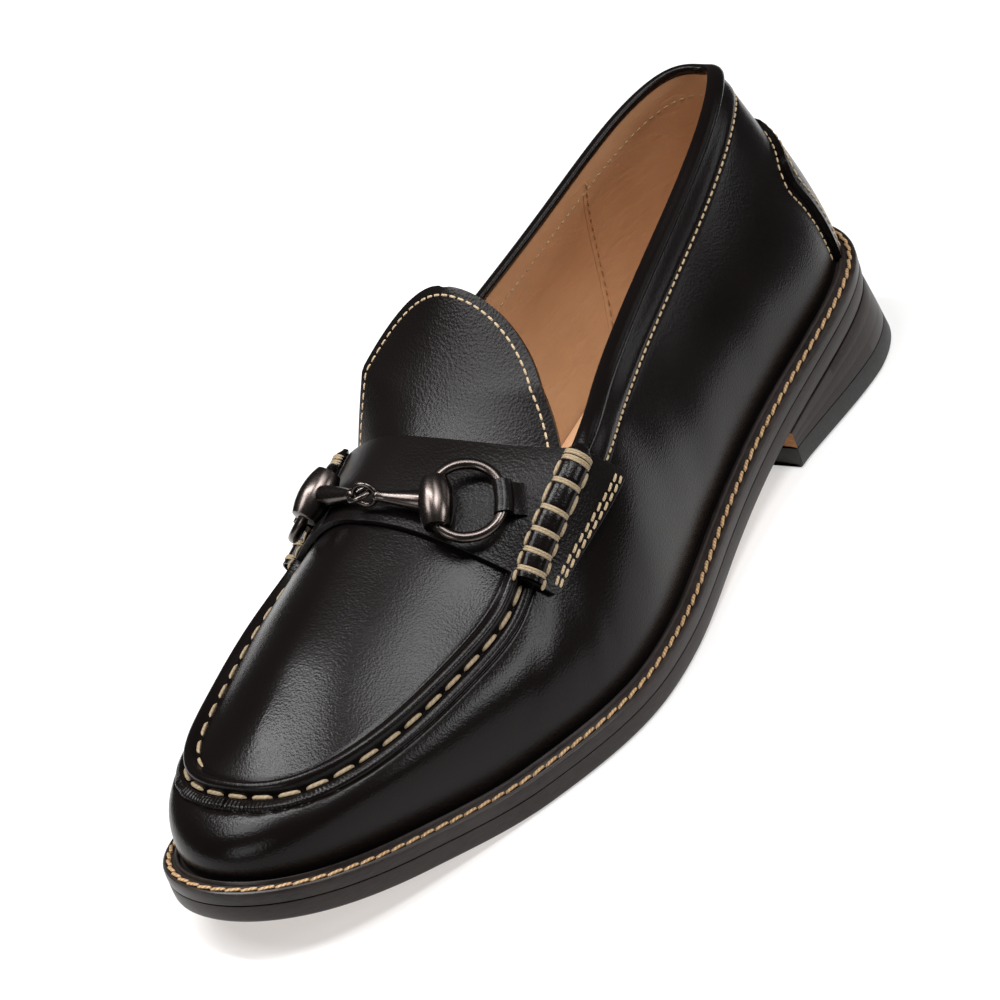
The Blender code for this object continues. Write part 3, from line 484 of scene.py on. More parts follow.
heel_finish = edge_dressed_leather("inked_heel_stack", "#2a2422", "#211b1a", roughness=0.42,
                                   fibre_mm=2.2, layer_stretch=6.0)
breast_finish = edge_dressed_leather("raw_heel_breast", "#b08258", "#7d5534", roughness=0.66,
                                     fibre_mm=2.2, layer_stretch=10.0)
lift_share = LIFT_THICK / float(sole_rise(0.0))
waist_flare = HEEL_FLARE * (1 - lift_share)
ring_size = HEEL_POINTS + BREAST_POINTS - 2


def add_heel_layer(name, rings, finishes, slot, node):
    """Solid of heel rings; the breast takes the second finish."""
    faces = grid_faces(len(rings), ring_size, closed=True)
    which = [0 if face[0] % ring_size < HEEL_POINTS - 1 else len(finishes) - 1 for face in faces]
    for start in (0, ring_size * (len(rings) - 1)):
        middle = HEEL_POINTS // 2
        pairs = [(start + middle - k, start + middle + k) for k in range(1, middle + 1)]
        lid = [(start + middle, pairs[0][0], pairs[0][1])]
        lid += [(a, c, d, b) for (a, b), (c, d) in zip(pairs[:-1], pairs[1:])]
        lid.append([start + i for i in [0] + list(range(ring_size - 1, HEEL_POINTS - 2, -1))])
        faces += lid
        which += [0] * len(lid)
    piece = add_piece(name, np.concatenate(rings), faces, finishes, slot, which=which)
    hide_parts(node)


stack = stack_rings(lambda trim: heel_ring(waist_flare, LIFT_THICK + GAP, trim),
                    lambda trim: heel_ring(0.0, None, trim), HEEL_SIDE)
add_heel_layer("stacked_heel", stack, [heel_finish, breast_finish], "stacked_leather", "heel_block")


def moulded_rubber(name, colour, grit_mm):
    """Vulcanised rubber: matt, dark and a little gritty where it was sanded flush with the heel."""
    material, place = start_material(name)
    grit = add_node(material, "ShaderNodeTexNoise",
                    {"Vector": place, "Scale": 1 / (grit_mm * MM), "Detail": 4.0})
    bump = add_node(material, "ShaderNodeBump",
                    {"Strength": 0.3, "Distance": 0.2 * MM, "Height": grit.outputs["Fac"]})
    gloss = add_node(material, "ShaderNodeMapRange",
                     {"Value": grit.outputs["Fac"], "To Min": 0.5, "To Max": 0.72})
    return set_shader(material, {"Base Color": linear(colour), "Roughness": gloss.outputs["Result"],
                                 "Normal": bump.outputs["Normal"]})


top_piece = stack_rings(lambda trim: heel_ring(HEEL_FLARE, 0.0, trim),
                        lambda trim: heel_ring(waist_flare, LIFT_THICK, trim), TOP_PIECE_SIDE)
rubber = moulded_rubber("heel_rubber", "#171514", grit_mm=0.9)
add_heel_layer("rubber_top_piece", top_piece, [rubber], "lift_rubber", "heel_top_lift")

# Insole
# Tan leather insole board that closes the shoe underneath, covered to the lining with a smooth tan sock.
INSOLE_PROUD = 1.2
FEATHER_INSET = 5.6
SOCK_INSET = 7.75


def tan_leather(name, light, dark, roughness, grain_mm, wrinkle_mm, wrinkle_depth):
    """Vegetable tanned leather, undyed: warm, matt, with fine pores and shallow wrinkles where it bends."""
    material, place = start_material(name)
    cloud = add_node(material, "ShaderNodeTexNoise", {"Vector": place, "Scale": 1 / (22 * MM), "Detail": 3.0})
    grain = add_node(material, "ShaderNodeTexVoronoi", {"Vector": place, "Scale": 1 / (grain_mm * MM)})
    slack = add_node(material, "ShaderNodeMapping", {"Vector": place, "Scale": (1.0, 0.45, 1.6)})
    wrinkle = add_node(material, "ShaderNodeTexNoise",
                       {"Vector": slack.outputs["Vector"], "Scale": 1 / (wrinkle_mm * MM), "Detail": 4.0,
                        "Distortion": 0.6})
    colour = add_node(material, "ShaderNodeMix",
                      {"Factor": cloud.outputs["Fac"], 6: linear(dark), 7: linear(light)}, data_type="RGBA")
    folds = add_node(material, "ShaderNodeBump",
                     {"Strength": 0.5, "Distance": wrinkle_depth * MM, "Height": wrinkle.outputs["Fac"]})
    pores = add_node(material, "ShaderNodeBump",
                     {"Strength": 0.2, "Distance": 0.12 * MM, "Height": grain.outputs["Distance"],
                      "Normal": folds.outputs["Normal"]})
    return set_shader(material, {"Base Color": colour.outputs[2], "Roughness": roughness,
                                 "Normal": pores.outputs["Normal"]})


sock_finish = tan_leather("tan_sock", "#ecc39c", "#e0b086", roughness=0.58, grain_mm=0.9,
                          wrinkle_mm=6.0, wrinkle_depth=0.35)
top = WELT_THICK + INSOLE_PROUD

# Edge of the insole from its underside up: inset from the outline, height above the welt's underside.
insole_edge = ((WELT_WIDTH + GAP, 0.0), (WELT_WIDTH + GAP, WELT_THICK + 0.2), (SOCK_INSET, WELT_THICK + 0.5),
               (SOCK_INSET + 0.1, top - 0.2), (SOCK_INSET + 0.6, top + 0.1), (SOCK_INSET + 3.0, top))
rings = [sole_loop(sole_turns, inset, WELT_BASE + height) for inset, height in insole_edge]
faces = grid_faces(len(rings), SOLE_COLUMNS, closed=True)
faces += lid_faces(SOLE_COLUMNS, 0) + lid_faces(SOLE_COLUMNS, SOLE_COLUMNS * (len(rings) - 1))
insole = add_piece("leather_insole", np.concatenate(rings), faces, [sock_finish], "insole_leather")
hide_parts("insole")

# Upper
# Black box calf, lasted in one wall from the feather line to the collar and joined to the apron in a pinched,
# hand-sewn seam: the apron's edge stands up as a ridge and the wall's edge is gathered into a puckered lip.
UPPER_SKIN = 1.2
STRAP_FRONT = 200.0
STRAP_REAR = 166.0
FRONT_COLUMNS = 120
REAR_COLUMNS = 112
WELT_TOP = WELT_BASE + WELT_THICK

# Sections of the upper.  Each row joins a feather station to the top edge there (apron seam in front, collar
# behind) and to the crown of the apron: feather s | top s, outer t, inner t, z, how much lower the inner side
# is | how far the wall swells low down and rises there, how far it swells high up and how far that is below
# the top, the inner side's share of the swell | crown s, t, z (front rows only).
SECTION_COLUMNS = ("feather", "top_s", "top_out", "top_in", "top_z", "in_drop",
                   "low_swell", "low_rise", "high_swell", "high_drop", "in_swell",
                   "crown_s", "crown_t", "crown_z")
SECTIONS = (
    (300.0, 280.5, -3.4, -3.4, 36.8, 0.0, 1.5, 9.0, 10.0, 1.5, 1.0, 256.5, -3.0, 45.5),
    (290.0, 276.5, 14.0, -20.5, 36.8, 0.0, 1.5, 9.0, 10.0, 2.0, 0.8, 251.5, -2.9, 47.5),
    (272.0, 265.0, 24.0, -28.6, 37.2, 0.0, 2.0, 10.0, 9.5, 3.5, 0.6, 243.5, -2.8, 50.8),
    (250.0, 247.5, 30.8, -33.4, 38.2, 0.0, 3.0, 11.0, 9.0, 5.0, 0.5, 232.5, -2.8, 55.2),
    (225.0, 225.0, 36.2, -36.8, 41.0, 0.5, 3.5, 13.0, 9.0, 7.0, 0.45, 219.0, -2.8, 60.8),
    (203.0, 206.0, 38.8, -37.2, 45.5, 2.6, 4.0, 14.0, 8.5, 9.0, 0.45, 206.5, -2.8, 65.8),
    (188.0, 194.0, 39.8, -35.2, 53.0, 5.6, 4.0, 17.0, 7.0, 13.0, 0.5, 197.0, -2.8, 68.8),
    (165.0, 167.5, 43.2, -33.4, 67.0, 7.2, 4.0, 20.0, 6.0, 20.0, 0.7, 176.0, -2.5, 73.7),
    (140.0, 143.0, 35.6, -30.0, 70.0, 3.0, 4.0, 20.0, 7.0, 21.0, 0.9, 0.0, 0.0, 0.0),
    (110.0, 113.0, 27.0, -26.2, 73.8, 0.8, 4.5, 20.0, 8.0, 21.0, 1.0, 0.0, 0.0, 0.0),
    (70.0, 78.0, 21.4, -21.4, 81.5, 0.0, 4.0, 21.0, 9.0, 22.0, 1.0, 0.0, 0.0, 0.0),
    (35.0, 47.0, 16.2, -16.6, 89.5, 0.0, 1.5, 20.0, 9.0, 26.0, 1.0, 0.0, 0.0, 0.0),
    (12.0, 28.2, 9.2, -9.8, 92.6, 0.0, -0.5, 16.0, 11.0, 33.0, 1.0, 0.0, 0.0, 0.0),
    (0.0, 20.8, 0.0, 0.0, 90.6, 0.0, -0.5, 16.0, 10.0, 33.0, 1.0, 0.0, 0.0, 0.0),
)
APRON_EDGE_SLOPE = 1.75
BACK_PEAK = 1.2
BACK_PEAK_SPREAD = 0.5

# Edges of the strap, where the seam ends: place across (-1 end of its tab, 0 seam, 1 crown), stations of its
# front and its rear edge.
STRAP_EDGES = (
    (-1.0, 191.5, 157.5),
    (0.0, 194.5, 165.0),
    (0.4, 196.8, STRAP_REAR),
    (1.0, STRAP_FRONT, STRAP_REAR),
)


def section_values(outer):
    """Rows of top s, t, z and of the wall's swell and rise for the outer or the inner side."""
    rows = []
    for row in SECTIONS:
        named = dict(zip(SECTION_COLUMNS, row))
        side, drop, share = (named["top_out"], 0.0, 1.0) if outer else (
            named["top_in"], named["in_drop"], named["in_swell"])
        rows.append([named["top_s"], side, named["top_z"] - drop, named["low_swell"] * share,
                     named["low_rise"], named["high_swell"] * share, named["high_drop"]])
    return rows


section_turns = [float(station_turn(row[0])) for row in SECTIONS]
top_edge = closed_spline(
    section_turns + [2 * math.pi - a for a in reversed(section_turns[1:-1])],
    section_values(True) + section_values(False)[-2:0:-1], 2 * math.pi)
crown_rows = [row for row in SECTIONS if row[-1] > 0]
crown_turns = [float(station_turn(row[0])) for row in crown_rows]
crown_curves = [steady_curve(crown_turns, [row[i] for row in crown_rows]) for i in (-3, -2, -1)]


def from_toe(turns):
    """Turn from the toe, the same for both sides."""
    return np.abs((np.asarray(turns, float) + math.pi) % (2 * math.pi) - math.pi)


def crown(turns):
    """Point on the crown of the apron that a column runs up to."""
    return np.stack([curve(from_toe(turns)) for curve in crown_curves], axis=-1)


def wall(turns, heights):
    """Outside of the wall: for each turn a row of points from the feather line (0) to the top edge (1)."""
    turns = np.asarray(turns, float)
    heights = np.asarray(heights, float)
    v = np.broadcast_to(heights, (len(turns), heights.shape[-1]))[..., None]
    normal = np.column_stack([outline(turns)[1], np.zeros(len(turns))])
    foot = sole_loop(turns, FEATHER_INSET, WELT_TOP + GAP)
    values = top_edge(turns)
    peak, low_swell, low_rise, high_swell, high_drop = values[:, :3], *values[:, 3:].T
    up = np.array([0.0, 0.0, 1.0])
    peak = peak + up * (BACK_PEAK * swell(from_toe(turns), math.pi, BACK_PEAK_SPREAD))[:, None]
    low = foot + normal * low_swell[:, None] + up * low_rise[:, None]
    high = peak + normal * high_swell[:, None] - up * high_drop[:, None]
    return (foot[:, None] * (1 - v) ** 3 + low[:, None] * 3 * v * (1 - v) ** 2
            + high[:, None] * 3 * v * v * (1 - v) + peak[:, None] * v ** 3)


def apron(turns, shares):
    """Apron: for each turn a row of points from the seam (0) to the crown (1)."""
    turns = np.asarray(turns, float)
    u = np.broadcast_to(np.asarray(shares, float), (len(turns), np.shape(shares)[-1]))
    seam = top_edge(turns)[:, :3]
    ridge = crown(turns)
    nudge = 1e-3
    ahead, behind = crown(from_toe(turns) + nudge), crown(from_toe(turns) + 2 * nudge)
    crown_slope = (ahead[:, 2] - behind[:, 2]) / (ahead[:, 0] - behind[:, 0])
    step = (ridge - seam)[:, :2]
    squareness = (step[:, 1:] / np.linalg.norm(step, axis=1, keepdims=True)) ** 2
    start = APRON_EDGE_SLOPE * (ridge[:, 2] - seam[:, 2])
    finish = crown_slope * step[:, 0] * (1 - squareness[:, 0])
    plan = np.stack([seam[:, :1] + step[:, :1] * (u + squareness * u * (1 - u)),
                     seam[:, 1:2] + step[:, 1:] * u], axis=-1)
    z = (seam[:, 2:] * (1 + 2 * u) * (1 - u) ** 2 + ridge[:, 2:] * u * u * (3 - 2 * u)
         + start[:, None] * u * (1 - u) ** 2 - finish[:, None] * u * u * (1 - u))
    return np.concatenate([plan, z[..., None]], axis=-1)


def apron_reach(turns):
    """Distance in plan from the seam to the crown."""
    return np.linalg.norm((crown(turns) - top_edge(turns)[:, :3])[:, :2], axis=1)


def heights_at(turns, drops):
    """Heights on the wall that lie a distance below its top edge, measured along the leather."""
    turns = np.asarray(turns, float)
    drops = np.broadcast_to(np.asarray(drops, float), (len(turns), np.shape(drops)[-1]))
    fine = np.linspace(1, 0, 240)
    columns = wall(turns, fine)
    lengths = np.linalg.norm(np.diff(columns, axis=1), axis=2)
    below = np.concatenate([np.zeros((len(turns), 1)), np.cumsum(lengths, axis=1)], axis=1)
    return np.array([np.interp(d, b, fine) for d, b in zip(drops, below)]), below[:, -1]


front_turn, rear_turn = float(station_turn(STRAP_FRONT)), float(station_turn(STRAP_REAR))
throat_turn = (front_turn + rear_turn) / 2
edge_places, front_stations, rear_stations = np.array(STRAP_EDGES).T
strap_front = steady_curve(edge_places, station_turn(front_stations))
strap_rear = steady_curve(edge_places, station_turn(rear_stations))
seam_end = float(strap_front(0.0))
side_turns = np.concatenate([np.linspace(0, throat_turn, FRONT_COLUMNS, endpoint=False),
                             np.linspace(throat_turn, math.pi, REAR_COLUMNS + 1)])
upper_turns = np.concatenate([side_turns, 2 * math.pi - side_turns[-2:0:-1]])
column_count = len(upper_turns)

# Places on a column: steps below the top edge, then shares of what is left of the wall; steps inside the
# seam, then shares of what is left of the apron.
WALL_STEPS = np.array([0, .3, .6, .9, 1.3, 1.7, 2.1, 2.5, 2.8, 3.05, 3.25, 3.45, 3.65, 3.85, 4.1, 4.4, 4.8,
                       5.4, 6.2, 7.0, 7.6, 8.0, 8.3, 8.6, 8.9, 9.3, 10.0])
WALL_REST = np.linspace(0, 1, 23)[1:]
SEAM_STEPS = np.array([0, .3, .5, .65, .8, .95, 1.15, 1.45, 1.8, 2.2, 2.6, 2.95, 3.2, 3.4, 3.6, 3.8, 4.0,
                       4.25, 4.6, 5.1, 5.8, 6.8])
APRON_REST = np.linspace(0, 1, 25)[1:]


def spaced(steps, rest, reach):
    """Places on each column: its steps, then shares of what is left of its reach."""
    return np.concatenate([np.repeat(steps[None], len(reach), axis=0),
                           steps[-1] + (reach - steps[-1]) * rest[None]], axis=1)


depth = heights_at(upper_turns, WALL_STEPS)[1][:, None]
wall_drops = spaced(WALL_STEPS, WALL_REST, depth)[:, ::-1]
wall_points = wall(upper_turns, heights_at(upper_turns, wall_drops)[0])
front_columns = np.arange(-FRONT_COLUMNS, FRONT_COLUMNS + 1)
front_turns = upper_turns[front_columns % column_count]
reach = apron_reach(front_turns)[:, None]
apron_steps = spaced(SEAM_STEPS, APRON_REST, reach)
apron_points = apron(front_turns, apron_steps / reach)

# Numbers of the points: the wall column by column, the apron inside the seam, the crown once for both sides.
rows, steps = wall_drops.shape[1], apron_steps.shape[1]
wall_number = np.arange(column_count * rows).reshape(column_count, rows)
apron_number = np.zeros((len(front_columns), steps), int)
apron_number[:, 0] = wall_number[front_columns % column_count, -1]
inner_count = len(front_columns) * (steps - 2)
apron_number[:, 1:-1] = wall_number.size + np.arange(inner_count).reshape(len(front_columns), -1)
apron_number[:, -1] = wall_number.size + inner_count + np.abs(front_columns)
point_count = wall_number.size + inner_count + FRONT_COLUMNS + 1


def spread(on_wall, on_apron):
    """Values on the wall and the apron as one array over the points."""
    on_wall, on_apron = np.asarray(on_wall, float), np.asarray(on_apron, float)
    values = np.zeros((point_count,) + on_wall.shape[2:])
    values[apron_number] = on_apron
    values[wall_number] = on_wall
    return values


def grid_quads(numbers, closed):
    """Quads of a grid of point numbers."""
    beside = np.roll(numbers, -1, axis=0)
    quads = np.stack([numbers[:, :-1], beside[:, :-1], beside[:, 1:], numbers[:, 1:]], axis=-1)
    return (quads if closed else quads[:-1]).reshape(-1, 4)


def outward_normals(points, quads, inside):
    """Unit normals of a quad mesh, turned away from a point inside."""
    turn = np.cross(points[quads[:, 2]] - points[quads[:, 0]], points[quads[:, 3]] - points[quads[:, 1]])
    normals = np.zeros_like(points)
    for corner in range(4):
        np.add.at(normals, quads[:, corner], turn)
    normals = unit(normals)
    return normals if np.sum((points - np.array(inside)) * normals) > 0 else -normals


INSIDE = (170.0, 0.0, 25.0)
skin = spread(wall_points, apron_points)
skin_quads = np.concatenate([grid_quads(wall_number, True), grid_quads(apron_number, False)])
skin_normals = outward_normals(skin, skin_quads, INSIDE)

# Relief of the leather: the pinched seam, the gathered lip, the collar's stitched band, the apron's rise
# towards the toe and the creases.
SEAM_NIP = 0.6
SEAM_NIP_WIDTH = 0.6
RIDGE_HEIGHT = 2.6
RIDGE_MIDDLE = 2.15
RIDGE_HALF = 1.4
RIDGE_STEEPNESS = 3.2
INNER_GROOVE = 3.75
INNER_GROOVE_DEPTH = 0.5
INNER_GROOVE_WIDTH = 0.45
LIP_WIDTH = 3.5
LIP_PUFF = 0.55
LIP_FOOT_DEPTH = 0.6
LIP_FOOT_WIDTH = 0.35
COLLAR_BAND = 8.6
COLLAR_PUFF = 0.3
COLLAR_GROOVE_DEPTH = 0.32
COLLAR_GROOVE_WIDTH = 0.5
GATHER_REACH = 0.48
GATHER_WIDTH = 0.8
GATHER_PITCH = 8.5
GATHER_DRIFT = 23.0
GATHER_DEPTH = 0.2
DOME_START = 202.0
DOME_PEAK = 246.0
DOME_EDGE = 0.08
DOME_HEIGHT = 2.9

# Creases, listed one by one: side, station, drop below the top edge, lean in degrees, length, depth, width.
CREASES = (
    (1, 212.0, 13.0, 35.0, 30.0, 0.11, 3.2),
    (1, 196.0, 20.0, 62.0, 26.0, 0.13, 3.6),
    (1, 186.0, 24.0, 75.0, 22.0, 0.09, 3.0),
    (1, 172.0, 26.0, 100.0, 30.0, 0.14, 5.0),
    (1, 120.0, 30.0, 80.0, 44.0, 0.30, 9.0),
    (1, 82.0, 28.0, 95.0, 40.0, 0.25, 8.0),
    (-1, 205.0, 15.0, 40.0, 28.0, 0.24, 3.4),
    (-1, 178.0, 24.0, 80.0, 28.0, 0.26, 4.5),
    (-1, 118.0, 30.0, 95.0, 44.0, 0.32, 9.0),
    (-1, 76.0, 26.0, 85.0, 36.0, 0.24, 7.0),
)

wall_turn = from_toe(upper_turns)[:, None]
seam_line = top_edge(upper_turns)[:, :3]
seam_step = np.linalg.norm(np.diff(seam_line, axis=0, append=seam_line[:1]), axis=1)
seam_place = (np.cumsum(seam_step) - seam_step)[:, None]
front = 1 - ease(wall_turn, seam_end, seam_end + 0.02)
rear = ease(wall_turn, rear_turn - 0.02, rear_turn + 0.05)
toe = swell(wall_turn, 0, GATHER_REACH)
drift = 1.5 * np.sin(2 * math.pi * seam_place / GATHER_DRIFT)
waves = np.sin(2 * math.pi * seam_place / GATHER_PITCH + drift)
lip_edge = LIP_WIDTH + toe * (GATHER_WIDTH + 0.2 * waves)
lip = LIP_PUFF * (ease(wall_drops, 0.3, 1.2) - ease(wall_drops, lip_edge - 1.3, lip_edge + 0.5))
lip -= (LIP_FOOT_DEPTH * swell(wall_drops, lip_edge, LIP_FOOT_WIDTH)
        + SEAM_NIP * swell(wall_drops, 0, SEAM_NIP_WIDTH))
on_lip = ease(wall_drops, 0.2, 1.0) - ease(wall_drops, lip_edge - 0.9, lip_edge)
lip += GATHER_DEPTH * toe * waves * on_lip
collar = COLLAR_PUFF * (ease(wall_drops, 2.0, 6.0) - ease(wall_drops, COLLAR_BAND - 1.8, COLLAR_BAND - 0.4))
collar -= COLLAR_GROOVE_DEPTH * swell(wall_drops, COLLAR_BAND, COLLAR_GROOVE_WIDTH)
wall_relief = front * lip + rear * collar
for side, station, drop, lean, length, deep, wide in CREASES:
    s, d = wall_points[..., 0] - station, wall_drops - drop
    c, n = math.cos(math.radians(lean)), math.sin(math.radians(lean))
    along, across = s * c + d * n, d * c - s * n
    on_side = np.sign(math.pi - upper_turns)[:, None] == side
    shape = swell(across, 0, wide) - 0.5 * swell(across, 1.7 * wide, wide)
    wall_relief = wall_relief - on_side * deep * shape * np.exp(-(2 * along / length) ** 4)
front = 1 - ease(from_toe(front_turns)[:, None], seam_end, seam_end + 0.012)
apron_relief = RIDGE_HEIGHT * np.exp(-np.abs((apron_steps - RIDGE_MIDDLE) / RIDGE_HALF) ** RIDGE_STEEPNESS)
apron_relief -= (INNER_GROOVE_DEPTH * swell(apron_steps, INNER_GROOVE, INNER_GROOVE_WIDTH)
                 + SEAM_NIP * swell(apron_steps, 0, SEAM_NIP_WIDTH))
dome = ease(apron_points[..., 0], DOME_START, DOME_PEAK)
apron_relief += DOME_HEIGHT * dome * ease(apron_steps / reach, DOME_EDGE, 1.0)
relief = spread(wall_relief[..., None], (front * apron_relief)[..., None])[:, 0]

rim = [int(wall_number[k, -1]) for k in range(FRONT_COLUMNS, column_count - FRONT_COLUMNS + 1)]
throat = [int(i) for i in apron_number[0, 1:]] + [int(i) for i in apron_number[-1, -2:0:-1]]
feather = [int(i) for i in wall_number[:, 0]]


def add_shell(name, outer, inner, finish, slot):
    """Hollow wall between two copies of the upper's skin, closed at collar, throat and feather line."""
    inner[feather, 2] = outer[feather, 2]
    faces = skin_quads.tolist() + (skin_quads[:, ::-1] + point_count).tolist()
    for loop in (rim + throat, feather):
        faces += [(a, b, b + point_count, a + point_count) for a, b in zip(loop, loop[1:] + loop[:1])]
    return add_piece(name, np.concatenate([outer, inner]), faces, [finish], slot)


def box_calf(name, light, dark, roughness, grain_mm, grain_depth):
    """Box calf, dyed black and waxed to a satin gloss: a tight grain that only shows in the highlights."""
    material, place = start_material(name)
    cloud = add_node(material, "ShaderNodeTexNoise", {"Vector": place, "Scale": 1 / (35 * MM), "Detail": 2.0})
    colour = add_node(material, "ShaderNodeMix",
                      {"Factor": cloud.outputs["Fac"], 6: linear(dark), 7: linear(light)}, data_type="RGBA")
    gloss = add_node(material, "ShaderNodeMapRange",
                     {"Value": cloud.outputs["Fac"], "From Min": 0.3, "From Max": 0.7,
                      "To Min": roughness - 0.03, "To Max": roughness + 0.04})
    along = add_node(material, "ShaderNodeAttribute", {}, attribute_name="pleat_place")
    deep = add_node(material, "ShaderNodeAttribute", {}, attribute_name="pleat_depth")
    stray = add_node(material, "ShaderNodeTexNoise", {"Vector": place, "Scale": 1 / (5 * MM), "Detail": 2.0})
    phase = add_node(material, "ShaderNodeMath", {0: stray.outputs["Fac"], 1: 9.0, 2: along.outputs["Fac"]},
                     operation="MULTIPLY_ADD")
    wave = add_node(material, "ShaderNodeMath", {0: phase.outputs[0]}, operation="SINE")
    fold = add_node(material, "ShaderNodeMath", {0: wave.outputs[0], 1: deep.outputs["Fac"]},
                    operation="MULTIPLY")
    pleats = add_node(material, "ShaderNodeBump", {"Distance": 0.09 * MM, "Height": fold.outputs[0]})
    grain = add_node(material, "ShaderNodeTexVoronoi",
                     {"Vector": place, "Scale": 1 / (grain_mm * MM), "Smoothness": 0.6}, feature="SMOOTH_F1")
    pores = add_node(material, "ShaderNodeTexNoise",
                     {"Vector": place, "Scale": 1 / (1.7 * grain_mm * MM), "Detail": 3.0, "Distortion": 0.4})
    height = add_node(material, "ShaderNodeMath",
                      {0: pores.outputs["Fac"], 1: 0.8, 2: grain.outputs["Distance"]},
                      operation="MULTIPLY_ADD")
    bump = add_node(material, "ShaderNodeBump",
                    {"Strength": 0.4, "Distance": grain_depth * MM, "Height": height.outputs[0],
                     "Normal": pleats.outputs["Normal"]})
    return set_shader(material, {"Base Color": colour.outputs[2], "Roughness": gloss.outputs["Result"],
                                 "Normal": bump.outputs["Normal"], "Specular IOR Level": 0.125})


calf = box_calf("black_box_calf", "#0f0b0a", "#090606", roughness=0.23, grain_mm=0.55, grain_depth=0.09)
upper = add_shell("calf_upper", skin + skin_normals * relief[:, None], skin - skin_normals * UPPER_SKIN,
                  calf, "calf")
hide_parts("upper")

# Fine pleats of the gathered lip: their phase along the seam and how deep they are, for the calf's finish.
PLEAT_PITCH = 1.05
no_pleat = np.zeros_like(apron_steps)[..., None]
pleat_phase = 2 * math.pi / PLEAT_PITCH * np.broadcast_to(seam_place, wall_drops.shape)[..., None]
for name, on_wall in (("pleat_place", pleat_phase), ("pleat_depth", (toe * on_lip)[..., None])):
    values = spread(on_wall, no_pleat)[:, 0]
    mark_points(upper, name, np.concatenate([values, values]))

# Lining
# Tan sheepskin glued inside the whole upper and sewn to it along the collar; its front and back pieces
# overlap in a seam on each side.
LINING_FACE = 1.25
LINING_BACK = 2.0
lining_finish = tan_leather("tan_lining", "#c09c7a", "#aa8460", roughness=0.55, grain_mm=0.8,
                            wrinkle_mm=5.0, wrinkle_depth=0.5)
add_shell("tan_lining", skin - skin_normals * LINING_FACE, skin - skin_normals * LINING_BACK,
          lining_finish, "lining_leather")

# Collar piping
# A narrow strip of calf rolled over the collar's edge and sewn down, so that the topline ends in a soft, flat
# bead that leans outwards.
PIPING_WIDE = 2.5
PIPING_HIGH = 1.5
PIPING_IN = 0.8
PIPING_UP = 0.2
PIPING_TILT = math.radians(40)
PIPING_SIDES = 24
piped = [k for k in range(column_count) if from_toe(upper_turns[k:k + 1])[0] > rear_turn - 0.05]
upright = np.array([0.0, 0.0, 1.0])
rim_out = unit(skin_normals[wall_number[piped, -1]] * np.array([1.0, 1.0, 0.0]))
face_up = rim_out * math.sin(PIPING_TILT) + upright * math.cos(PIPING_TILT)
face_out = rim_out * math.cos(PIPING_TILT) - upright * math.sin(PIPING_TILT)
round_turns = np.arange(PIPING_SIDES)[None, :, None] * 2 * math.pi / PIPING_SIDES
centre = (wall_points[piped, -1] - rim_out * PIPING_IN + upright * PIPING_UP)[:, None]
points = (centre + PIPING_WIDE * np.cos(round_turns) * face_out[:, None]
          + PIPING_HIGH * np.sin(round_turns) * face_up[:, None]).reshape(-1, 3)
add_piece("collar_piping", points, capped_faces(len(piped), PIPING_SIDES), [calf], "calf")

# Apron and collar stitching
# The apron seam is sewn by hand through the ridge with thick cream thread that shows on both of its sides; a
# fine row below the piping holds the collar to the lining, where it shows too.
SEAM_PITCH = 7.3
SEAM_ROW_IN = 0.25
THREAD_BED = 0.3
seam_thread = linen_thread("apron_linen", "#9c8a6f", "#705f45", ply_shade=0.09, fibre_bump=0.5)
fine_thread = linen_thread("topstitch_linen", "#bfa98a", "#86704f", ply_shade=0.1, fibre_bump=0.4)


def wall_row(turns, drop):
    """Points on the outside of the wall a distance below its top edge, with their normals."""
    turns = np.asarray(turns, float)
    nudge = 0.4
    ladder = np.array([[drop - nudge, drop, drop + nudge]])
    columns = wall(turns, heights_at(turns, ladder)[0])
    down = columns[:, 2] - columns[:, 0]
    ahead = np.gradient(columns[:, 1], axis=0)
    normals = unit(np.cross(ahead, down))
    middle = columns[:, 1]
    flip = np.sign(np.sum((middle - np.array(INSIDE)) * normals, axis=1))[:, None]
    return middle, normals * flip


def apron_row(turns, inside, lift=0.0):
    """Points on the apron a distance inside its seam, with their normals."""
    turns = np.asarray(turns, float)
    nudge = 0.4
    ladder = np.array([[inside - nudge, inside, inside + nudge]]) / apron_reach(turns)[:, None]
    columns = apron(turns, ladder)
    normals = unit(np.cross(np.gradient(columns[:, 1], axis=0), columns[:, 2] - columns[:, 0]))
    normals *= np.sign(normals[:, 2:])
    return columns[:, 1] + normals * lift, normals


def grid_normals(grid):
    """Outward unit normals of a grid of points."""
    normals = unit(np.cross(np.gradient(grid, axis=0), np.gradient(grid, axis=1)))
    return normals if np.sum((grid - np.array(INSIDE)) * normals) > 0 else -normals


seam_turns = np.linspace(-seam_end + 0.004, seam_end - 0.004, 900)
outer_line, outer_ups = apron_row(seam_turns, SEAM_ROW_IN, -THREAD_BED)
rows_sewn = stitches(outer_line, outer_ups, SEAM_PITCH, length=6.3, radius=0.62, sink=2.0, blunt=4.0)
inner_line, inner_ups = apron_row(seam_turns, INNER_GROOVE)
inner_line -= inner_ups * (THREAD_BED + 0.9 * ease(seam_turns, -0.45, -0.2))[:, None]
rows_sewn += stitches(inner_line, inner_ups, SEAM_PITCH, length=6.2, radius=0.6, sink=2.0, blunt=4.0)
add_threads("apron_stitches", rows_sewn, seam_thread)
collar_start = float(strap_rear(-0.7))
collar_turns = np.linspace(collar_start, 2 * math.pi - collar_start, 1400)
collar_line, collar_ups = wall_row(collar_turns, COLLAR_BAND)
collar_rows = stitches(collar_line - collar_ups * THREAD_BED, collar_ups, pitch=2.8, length=2.05, radius=0.31)
